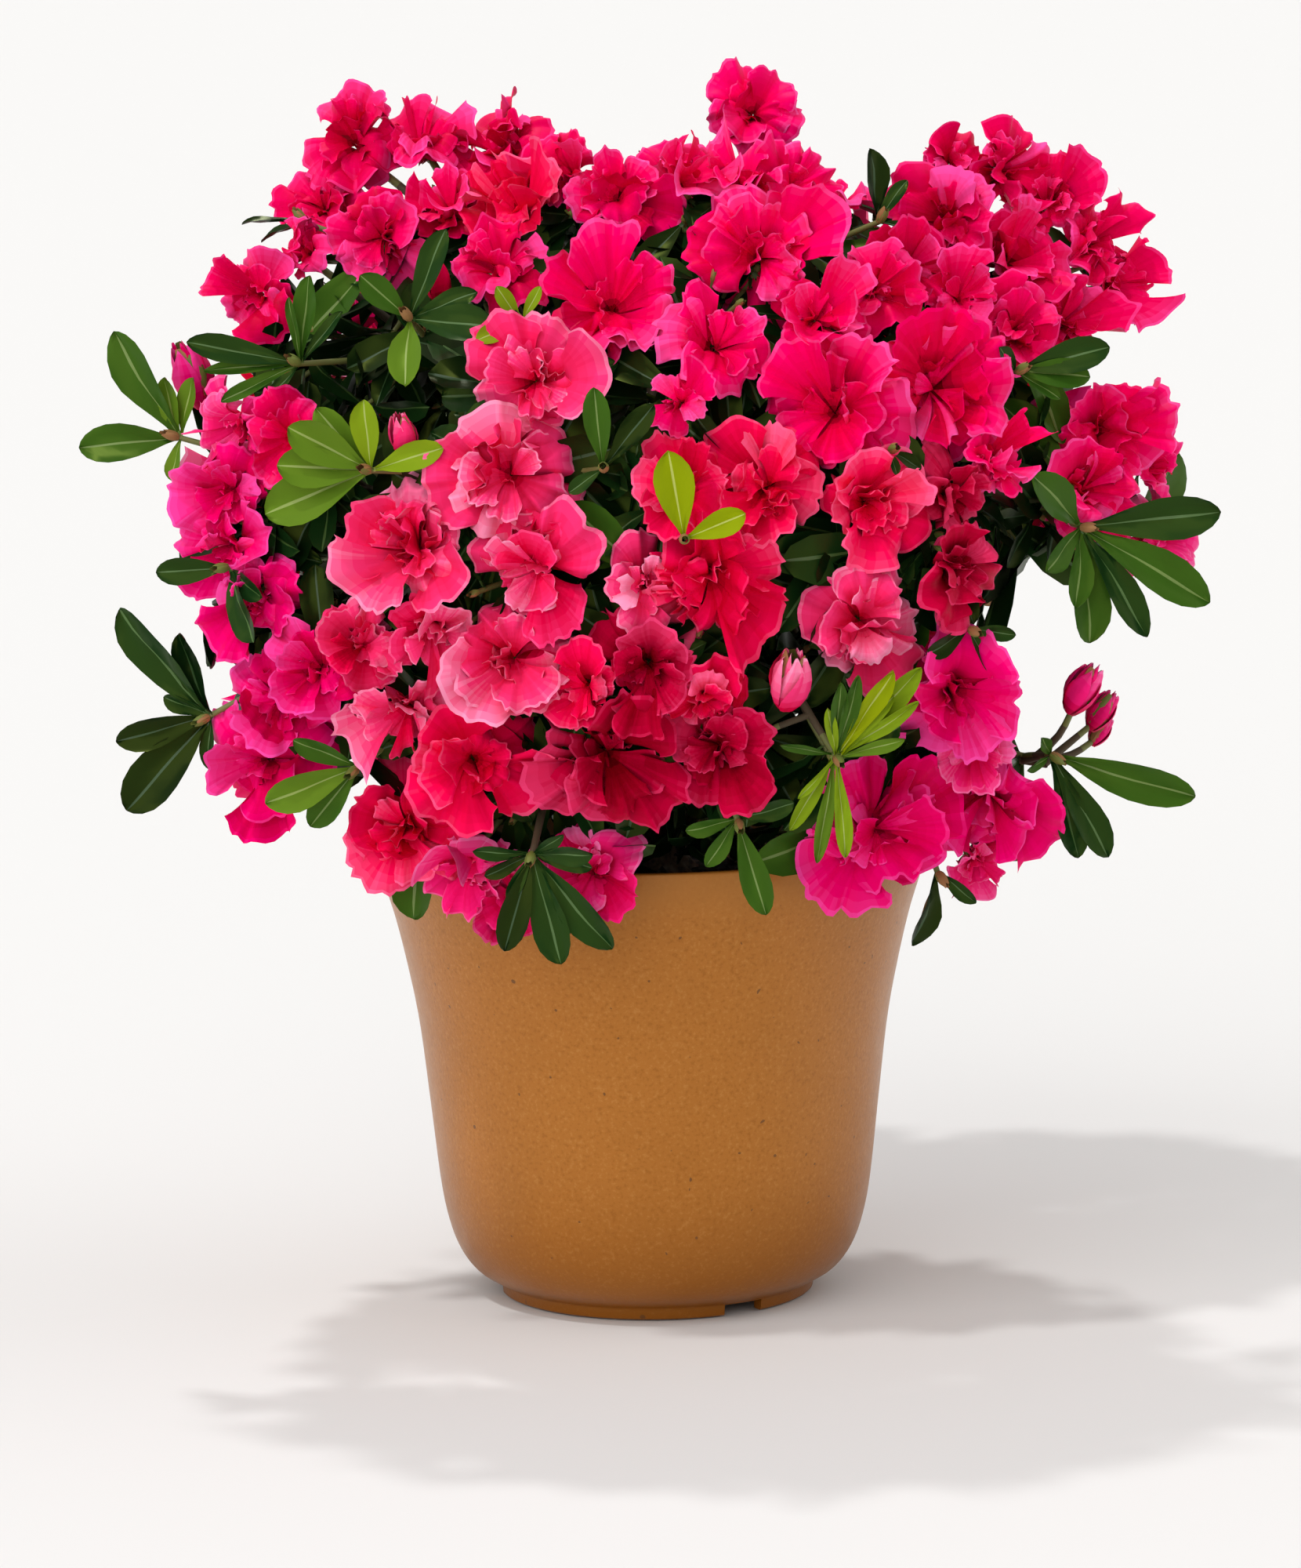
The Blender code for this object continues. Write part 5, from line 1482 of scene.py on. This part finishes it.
def make_leaves(name, leaves, stations, columns, replaced):
    """Many leaves joined in one piece, with a finish for each tone of blade and of midrib."""
    finishes = []
    for tone, (colour, roughness) in LEAF_TONES.items():
        finishes.append(plain_finish(f"leaf_{tone}", colour, roughness, **LEAF_GLOSS))
        finishes.append(plain_finish(f"rib_{tone}", RIB_TONES[tone], RIB_ROUGHNESS))
    bunch = Bunch(name, finishes)
    faces = grid_faces(len(stations), len(columns))
    for leaf in leaves:
        bunch.add(leaf_sheet(leaf, stations, columns), faces, leaf_tints(leaf["tone"], stations, columns))
    bunch.made("foliage", replaced)


# --- The finer growth ----------------------------------------------------------------------------------

SPRIG_LENGTHS, SPRIG_LEAVES, SPRIG_LEAF_LENGTHS = (12.0, 30.0), (4, 7), (17.0, 33.0)
SPRIG_TRIES, SPRIG_RADIUS, SPRIG_STARTS, SPRIG_FREE_FROM = 8, 0.7, (0.1, 0.9), 0.15
# How much a sprig goes along its host, out of the crown and astray, and how far it bends.
SPRIG_ALONG, SPRIG_OUTWARD, SPRIG_ASTRAY, SPRIG_BEND = 0.5, 0.7, 0.6, 1.2
# A sprig's leaves: tries for each, the step between them, their rise, how far back they root, their bend.
INNER_TRIES, INNER_STEP, INNER_RISE, INNER_BACK, INNER_BENDS = 3, 0.5, (0.0, 0.9), (0, 3), (0.02, 0.22)
# Leaves deep in the crown take mostly the shade tone, which is painted shade.
INNER_TONES, INNER_FREE_FROM = ("shade", "shade", "dark"), 1.0
INSIDE, TIPS_PAST = 0.93, 0.04  # how far out a sprig ends, as a share of the dome, and its leaves past that
ABOVE_POT = 1.0


def share_of_dome(point):
    """How far out a point is, from 0 at the crown's heart to 1 at the dome."""
    off = point - HEART
    front = off.y < 0
    wide, deep = (CROWN_HALF_WIDTH, CROWN_HALF_DEPTH) if front else (BACK_HALF_WIDTH, BACK_HALF_DEPTH)
    high = CROWN_BELOW if off.z < 0 else CROWN_ABOVE if front else BACK_ABOVE
    return math.sqrt((off.x / wide) ** 2 + (off.y / deep) ** 2 + (off.z / high) ** 2)


def in_reach(point):
    """Whether a sprig may end at a point."""
    return share_of_dome(point) < INSIDE and clears_pot([point], ABOVE_POT)


def fine_growth(owner, what):
    """Whether a solid is one that a sprig may pass through: any twig or leaf."""
    return what in ("twig", "leaf")


def grow_sprigs(mass, taken, count):
    """Side twigs from the mass's twigs, each with a whorl of leaves at its end."""
    dice = random.Random(f"{SEED} sprigs {mass['name']}")
    name = mass["name"]
    hosts = [head["twig"] for head in mass["heads"]] + [mass["stem"]]
    if name not in BOUGHLESS:
        hosts += [mass["bough"][1:]] * 2
    sprigs = []
    for _ in range(count):
        for _ in range(SPRIG_TRIES):
            host = dice.choice(hosts)
            k = dice.randrange(len(host) - 1)
            start = host[k].lerp(host[k + 1], dice.uniform(*SPRIG_STARTS))
            along = (host[k + 1] - host[k]).normalized()
            outward = (start - HEART).normalized()
            loose = Vector([dice.gauss(0, SPRIG_ASTRAY) for _ in range(3)])
            way = (along * SPRIG_ALONG + outward * SPRIG_OUTWARD + loose).normalized()
            end = start + way * dice.uniform(*SPRIG_LENGTHS)
            if not in_reach(end) or in_sky(end):
                continue
            solid = twig_solid([start.lerp(end, SPRIG_FREE_FROM), end], [SPRIG_RADIUS] * 2)
            if not taken.meets(solid, fine_growth):
                sprigs.append({"path": [start, start.lerp(end, 0.5) + loose * SPRIG_BEND, end], "way": way})
                break
    return sprigs


def sprig_leaves(sprig, taken, dice):
    """A whorl at the sprig's end, each leaf where no blossom or limb is in its way."""
    side, up = across(sprig["way"])
    first, leaves = dice.uniform(0, math.tau), []
    for k in range(dice.randint(*SPRIG_LEAVES)):
        spin = first + k * GOLDEN_ANGLE
        for _ in range(INNER_TRIES):
            way = turned(side, up, spin) + sprig["way"] * dice.uniform(*INNER_RISE)
            root = sprig["path"][-1] - sprig["way"] * dice.uniform(*INNER_BACK)
            leaf = {"root": root, "ahead": way.normalized(), "up": sprig["way"]}
            leaf["length"] = dice.uniform(*SPRIG_LEAF_LENGTHS)
            leaf["bend"] = dice.uniform(*INNER_BENDS)
            leaf["width"] = dice.uniform(*PLAIN_WIDTHS)
            tip = tip_of(leaf)
            hidden = not in_sky(tip) and not in_sky(root.lerp(tip, 0.5))
            within = share_of_dome(tip) <= INSIDE + TIPS_PAST and clears_pot([tip], ABOVE_POT)
            solid = leaf_solid(leaf, start=INNER_FREE_FROM)
            if hidden and within and not taken.meets(solid, fine_growth):
                leaf["tone"] = dice.choice(INNER_TONES)
                leaves.append(leaf)
                break
            spin += INNER_STEP
    return leaves


LEAF_TOP = 318.0  # no leaf of a blossom reaches higher than this


def tip_of(leaf):
    return leaf["root"] + leaf["ahead"] * leaf["length"]


def whorl_key(mass, head):
    """What the tables of tones, widths and lifts call a whorl. The other heads aren't in them."""
    return (mass["name"], head["place"]) if head["kind"] == "whorl" else None


def raised_leaves(mass):
    """Every leaf of the whorls that stand out in front of the blossoms, where they all have room."""
    for head in mass["heads"]:
        lift = RAISED.get(whorl_key(mass, head))
        for way, length in head["ways"] if lift else ():
            root = head["twig"][-1] + head["normal"] * lift
            yield leaf_by(head, root, way, length * RAISED_LENGTH)


def extra_leaves(mass):
    """The leaves that the fullest whorls have beyond their solid ones."""
    for head in mass["heads"]:
        key = whorl_key(mass, head)
        root = head["twig"][-1] + head["normal"] * RAISED.get(key, 0.0)
        for angle, length in EXTRA_LEAVES.get(key, ()):
            flat = seen_way(angle)
            way = flat + head["normal"] * (EXTRA_RISE - min(0.0, flat.dot(head["normal"])))
            yield leaf_by(head, root, way, length)


def head_leaves(mass, dice):
    """The mass's own leaves, toned and shaped whorl by whorl."""
    raised = list(raised_leaves(mass))
    leaves = [leaf for leaf in mass["leaves"] if all(leaf["head"] is not other["head"] for other in raised)]
    leaves = [leaf for leaf in leaves if leaf["head"]["kind"] == "whorl" or tip_of(leaf).z < LEAF_TOP]
    raised += extra_leaves(mass)
    for leaf in leaves + raised:
        key = whorl_key(mass, leaf["head"])
        leaf["up"] = (leaf["up"] + Vector((0, -LEAF_ROLL if key in WHORL_TONES else 0, 0))).normalized()
        leaf["tone"] = dice.choice(WHORL_TONES.get(key, PLAIN_TONES))
        leaf["bend"] = dice.uniform(*BENDS)
        leaf["width"] = dice.uniform(*WHORL_WIDTHS.get(key, PLAIN_WIDTHS))
    return leaves + raised


# --- Twigs and bark ------------------------------------------------------------------------------------

# The finishes of twigs and scales, each with its colour and roughness.
TWIG_FINISHES = (
    ("twig_brown", (0.085, 0.060, 0.030), 0.8),
    ("twig_olive", (0.160, 0.175, 0.045), 0.6),
    ("scale_beige", (0.33, 0.16, 0.055), 0.7),
    ("scale_green", (0.16, 0.20, 0.035), 0.6),
)
BEIGE, GREEN = 2, 3
TWIG_POINTS, TWIG_SIDES = 7, 6
STEM_TIP = 1.2
# A twig's radius at its foot and at its tip, and the share of its length after which it is olive.
TAPERS = {
    "head": (1.2, 0.8, 0.6),
    "blossom": (1.35, 1.0, 0.6),
    "cup": (0.9, 1.6, 0.0),
    "sprig": (1.0, 0.7, 0.3),
}
ALL_BROWN = 1.1  # past a twig's end
CUP_BACK, CUP_FRONT = 2.4, 0.2  # where the cup under a blossom begins and ends, behind its funnel
WHORL_SCALES, SPRIG_SCALES, BUD_SCALES = 2.6, 1.8, 1.25  # sizes, a bud's as a share of its radius


def add_twig(bunch, path, thick, thin, olive_from):
    """A tapering twig, brown and then olive for the rest of its length."""
    points = curved(path, TWIG_POINTS)
    faces = grid_faces(TWIG_POINTS, TWIG_SIDES, closed=True)
    tints = np.repeat(np.arange(TWIG_POINTS - 1) / (TWIG_POINTS - 1) >= olive_from, TWIG_SIDES)
    bunch.add(tube(points, tapered(thick, thin, TWIG_POINTS), TWIG_SIDES), faces, tints.astype(int))


SCALE_GRID, SCALE_COUNT, SCALE_HALF = (4, 4), 5, 0.9


def add_scales(bunch, place, way, size, dice):
    """The papery scales of a resting bud at a twig's end."""
    v, u = np.linspace(0, 1, SCALE_GRID[0])[:, None], np.linspace(-1, 1, SCALE_GRID[1])[None, :]
    for k in range(SCALE_COUNT):
        turn = k * GOLDEN_ANGLE + u * SCALE_HALF
        out = size * (0.25 + 0.32 * np.sin(math.pi * (0.15 + 0.75 * v))) + 0 * u
        high = size * (2.1 - 0.12 * k) * v * (1 - 0.25 * u**2)
        sheet = wrapped(place, way, out, turn, high)
        bunch.add(sheet, grid_faces(*SCALE_GRID), BEIGE if dice.random() < 0.5 else GREEN)


def add_head_twigs(bunch, mass, head, dice):
    """The twig of a head, with the olive cup under a blossom or the scales round another head's foot."""
    twig, normal = head["twig"], head["normal"]
    if head["kind"] == "blossom":
        apex = seat_of(head) - normal * FUNNEL_DEPTH * head["radius"]
        add_twig(bunch, [*twig[:-1], apex], *TAPERS["blossom"])
        add_twig(bunch, [apex - normal * CUP_BACK, apex - normal * CUP_FRONT], *TAPERS["cup"])
        return
    lift = RAISED.get(whorl_key(mass, head), 0.0)
    end = twig[-1] + normal * lift
    add_twig(bunch, [*twig, end] if lift else twig, *TAPERS["head"])
    if head["kind"] == "whorl":
        add_scales(bunch, end, normal, WHORL_SCALES, dice)
    else:
        add_scales(bunch, head["root"], normal, BUD_SCALES * head["radius"], dice)


def make_twigs(masses, sprigs):
    """Every stem, twig and sprig, with what sits at its end."""
    bunch = Bunch("twigs", [plain_finish(*finish) for finish in TWIG_FINISHES])
    dice = random.Random(f"{SEED} scales")
    for mass in masses:
        add_twig(bunch, mass["stem"], stem_radii(mass)[0], STEM_TIP, ALL_BROWN)
        for head in mass["heads"]:
            add_head_twigs(bunch, mass, head, dice)
    for sprig in sprigs:
        add_twig(bunch, sprig["path"], *TAPERS["sprig"])
        add_scales(bunch, sprig["path"][-1], sprig["way"], SPRIG_SCALES, dice)
    bunch.made("bark", ["mass_" + mass["name"] for mass in masses])


TRUNK_RINGS, TRUNK_SIDES, BOUGH_RINGS, BOUGH_SIDES = 44, 28, 26, 12
TRUNK_RELIEF, BOUGH_RELIEF = (0.22, 3.0), (0.20, 2.0)  # its height as a share of the radius, and its size
CLOSED, TOP_RISE, FOOT_PAST = 0.05, 0.2, 0.4  # a closed end's radius, and how far the ends reach


def make_bark(masses):
    """The trunk and the boughs with the relief of their bark."""
    bunch = Bunch("bark", [bark_finish()])
    shares = [i / (TRUNK_RINGS - 1) for i in range(TRUNK_RINGS)]
    path = [trunk_axis(TRUNK_FOOT + share * TRUNK_HEIGHT) for share in shares]
    radii = [trunk_radius(point.z) for point in path]
    top = path[-1] + Vector((0, 0, TOP_RISE))
    rings = tube([*path, top], [*radii, CLOSED], TRUNK_SIDES, *TRUNK_RELIEF)
    bunch.add(rings, grid_faces(TRUNK_RINGS + 1, TRUNK_SIDES, closed=True), 0)
    for mass in masses:
        if mass["name"] in BOUGHLESS:
            continue
        points = curved(mass["bough"], BOUGH_RINGS)
        radii = tapered(BOUGH_FOOT_RADIUS, BOUGH_TIP_RADIUS, BOUGH_RINGS)
        ends = [points[0] + (points[0] - points[1]) * FOOT_PAST, *points, points[-1]]
        rings = tube(ends, [BOUGH_FOOT_RADIUS, *radii, CLOSED], BOUGH_SIDES, *BOUGH_RELIEF)
        bunch.add(rings, grid_faces(BOUGH_RINGS + 2, BOUGH_SIDES, closed=True), 0)
    limbs = ["bough_" + mass["name"] for mass in masses if mass["name"] not in BOUGHLESS]
    bunch.made("bark", ["trunk", *limbs])


# --- The pot and its mix -------------------------------------------------------------------------------

POT_SIDES, POT_RINGS = 128, 44
LIP_ROUND, LIP_SEGMENTS, LIP_ANGLE = 0.7, 3, math.radians(50)
FOOT_SPLAY, FLOOR_RADIUS = 0.3, 43.0
DRAIN_SIDES, DRAIN_CUT = 40, 20.0
# The inside's finish: how level a face of the floor is, and where it starts below the floor and the rim.
LEVEL_FACE, BELOW_FLOOR, BELOW_RIM = 0.9, 1, 1.5
SMOOTH_UP_TO = math.radians(40)


def inner_wall():
    """The pot's inside from the rim down to the floor."""
    wall = [(r - WALL, z) for r, z in POT_OUTLINE[::-2]]
    return [(RIM_RADIUS - WALL, POT_HEIGHT), *wall]


def pot_stations():
    """Radius and height of each ring of the pot, from under its foot over the rim to its floor."""
    foot = [(FOOT_RADIUS - FOOT_RING_WIDTH, 0.0), (FOOT_RADIUS, 0.0)]
    shoulder = (FOOT_RADIUS + FOOT_SPLAY, FOOT_HEIGHT)
    side = [Vector((r, 0, z)) for r, z in (*POT_OUTLINE, (RIM_RADIUS, POT_HEIGHT))]
    wall = [(point.x, point.z) for point in curved(side, POT_RINGS)]
    return [*foot, shoulder, *wall, *inner_wall(), (FLOOR_RADIUS, FLOOR_TOP)]


def apply_all(piece):
    """Applies every modifier of a piece."""
    bpy.ops.object.select_all(action="DESELECT")
    piece.select_set(True)
    bpy.context.view_layer.objects.active = piece
    for modifier in list(piece.modifiers):
        bpy.ops.object.modifier_apply(modifier=modifier.name)


def cut_away(target, cutter, name):
    """Cuts one piece out of another and clears it away."""
    cut = target.modifiers.new(name, "BOOLEAN")
    cut.operation = "DIFFERENCE"
    cut.solver = "EXACT"
    cut.object = cutter
    apply_all(target)
    bpy.data.objects.remove(cutter)


def make_pot():
    """Rings raised one after the other from a disc, then the notches in the foot and the drain holes."""
    bpy.ops.object.select_all(action="DESELECT")
    radius = FOOT_RADIUS - FOOT_RING_WIDTH
    bpy.ops.mesh.primitive_circle_add(
        vertices=POT_SIDES, radius=radius * MM, fill_type="NGON", location=(0, 0, FOOT_HEIGHT * MM)
    )
    pot = bpy.context.object
    pot.name = "planter"
    bpy.ops.object.transform_apply(location=True)
    bpy.ops.object.mode_set(mode="EDIT")
    height = FOOT_HEIGHT
    for ring, level in pot_stations():
        rise, wider = {"value": (0, 0, (level - height) * MM)}, ring / radius
        bpy.ops.mesh.extrude_region_move(TRANSFORM_OT_translate=rise)
        bpy.ops.transform.resize(value=(wider, wider, 1), center_override=(0, 0, level * MM))
        radius, height = ring, level
    bpy.ops.mesh.select_all(action="SELECT")
    bpy.ops.mesh.normals_make_consistent(inside=False)
    bpy.ops.object.mode_set(mode="OBJECT")
    lip = pot.modifiers.new("lip", "BEVEL")
    lip.width = LIP_ROUND * MM
    lip.segments = LIP_SEGMENTS
    lip.angle_limit = LIP_ANGLE
    apply_all(pot)
    notch_size = Matrix.Diagonal((NOTCH_DEPTH * MM, NOTCH_WIDTH * MM, 2 * NOTCH_HEIGHT * MM, 1))
    for i, angle in enumerate(NOTCH_ANGLES):
        turn = Matrix.Rotation(math.radians(angle), 4, "Z")
        bpy.ops.mesh.primitive_cube_add(size=1)
        notch = bpy.context.object
        notch.data.transform(notch_size)
        notch.data.transform(turn @ Matrix.Translation((FOOT_RADIUS * MM, 0, 0)))
        cut_away(pot, notch, f"notch_{i}")
        size = {"radius": DRAIN_RADIUS * MM, "depth": DRAIN_CUT * MM}
        bpy.ops.mesh.primitive_cylinder_add(vertices=DRAIN_SIDES, **size)
        drain = bpy.context.object
        drain.data.transform(turn @ Matrix.Translation((DRAIN_REACH * MM, 0, 0)))
        cut_away(pot, drain, f"drain_{i}")
    pot.data.materials.append(pot_finish())
    pot.data.materials.append(inside_finish())
    for face in pot.data.polygons:
        centre, flat = face.center, face.normal.xy
        inward = centre.xy.dot(flat) < 0 or face.normal.z > LEVEL_FACE
        within = FLOOR_TOP - BELOW_FLOOR < centre.z / MM < POT_HEIGHT - BELOW_RIM
        face.material_index = int(inward and within)
    bpy.ops.object.select_all(action="DESELECT")
    pot.select_set(True)
    bpy.ops.object.shade_smooth_by_angle(angle=SMOOTH_UP_TO)
    settled(pot, ["pot"])


MIX_SHORT_OF_WALL = 4.0
CRUMBS, CRUMB_SIZES, CRUMB_RING = 700, (1.2, 4.2), (15, 69.0)  # none lies against the trunk or the wall
CRUMB_SHAPE, CRUMB_UNEVEN, CRUMB_RAISED = (0.6, 0.4, 0.3), (0.55, 1.2), 0.1  # as shares of its size
CUBE_FACES = ((0, 2, 3, 1), (4, 5, 7, 6), (0, 1, 5, 4), (2, 6, 7, 3), (0, 4, 6, 2), (1, 3, 7, 5))


def mix_height(out):
    """The height of the mix's surface at a distance from its middle."""
    edge = RIM_RADIUS - WALL - MIX_SHORT_OF_WALL
    return float(np.interp(out, (0, MIX_LEVEL_RADIUS, edge), (MIX_TOP, MIX_TOP, MIX_EDGE)))


def make_peat():
    """Loose crumbs of peat and bark, half sunk in the surface of the mix."""
    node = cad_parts["potting_mix"]
    node.data.materials.clear()
    node.data.materials.append(peat_finish("peat", PEAT_SIZE))
    dice = random.Random(f"{SEED} peat")
    bunch = Bunch("peat_crumbs", [peat_finish("peat_crumb", CRUMB_PATTERN_SIZE)])
    cube = np.array([(x, y, z) for z in (-1, 1) for y in (-1, 1) for x in (-1, 1)], float)
    nearest, furthest = CRUMB_RING
    for _ in range(CRUMBS):
        out, turn = furthest * math.sqrt(dice.random()), dice.uniform(0, math.tau)
        size = dice.uniform(*CRUMB_SIZES)
        if out < nearest:
            continue
        spin = Matrix.Rotation(dice.uniform(0, math.tau), 3, Vector([dice.gauss(0, 1) for _ in range(3)]))
        uneven = np.array([[dice.uniform(*CRUMB_UNEVEN) for _ in range(3)] for _ in cube])
        points = (cube * uneven * (size * np.array(CRUMB_SHAPE))) @ np.array(spin).T
        height = mix_height(out) + CRUMB_RAISED * size
        place = np.array((out * math.cos(turn), out * math.sin(turn), height))
        bunch.add(points + place, np.array(CUBE_FACES), 0)
    bunch.made("potting_mix", ())


# --- The whole -----------------------------------------------------------------------------------------

FRONT_SPRIGS, BACK_SPRIGS = 15, 15


def main():
    make_camera()
    make_lights()
    make_floor()
    masses = planned_masses()
    taken = grow_crown(masses)
    make_pot()
    make_peat()
    make_bark(masses)
    sprigs, leaves, inner = [], [], []
    for mass in masses:
        dice = random.Random(f"{SEED} leaf tones {mass['name']}")
        leaves += head_leaves(mass, dice)
        grown = grow_sprigs(mass, taken, BACK_SPRIGS if mass["name"] in BACK else FRONT_SPRIGS)
        for sprig in grown:
            inner += sprig_leaves(sprig, taken, dice)
        sprigs += grown
    make_twigs(masses, sprigs)
    make_blossoms(masses)
    make_leaves("leaves", leaves, STATIONS, COLUMNS, ["mass_" + mass["name"] for mass in masses])
    make_leaves("inner_leaves", inner, INNER_STATIONS, INNER_COLUMNS, ())


main()
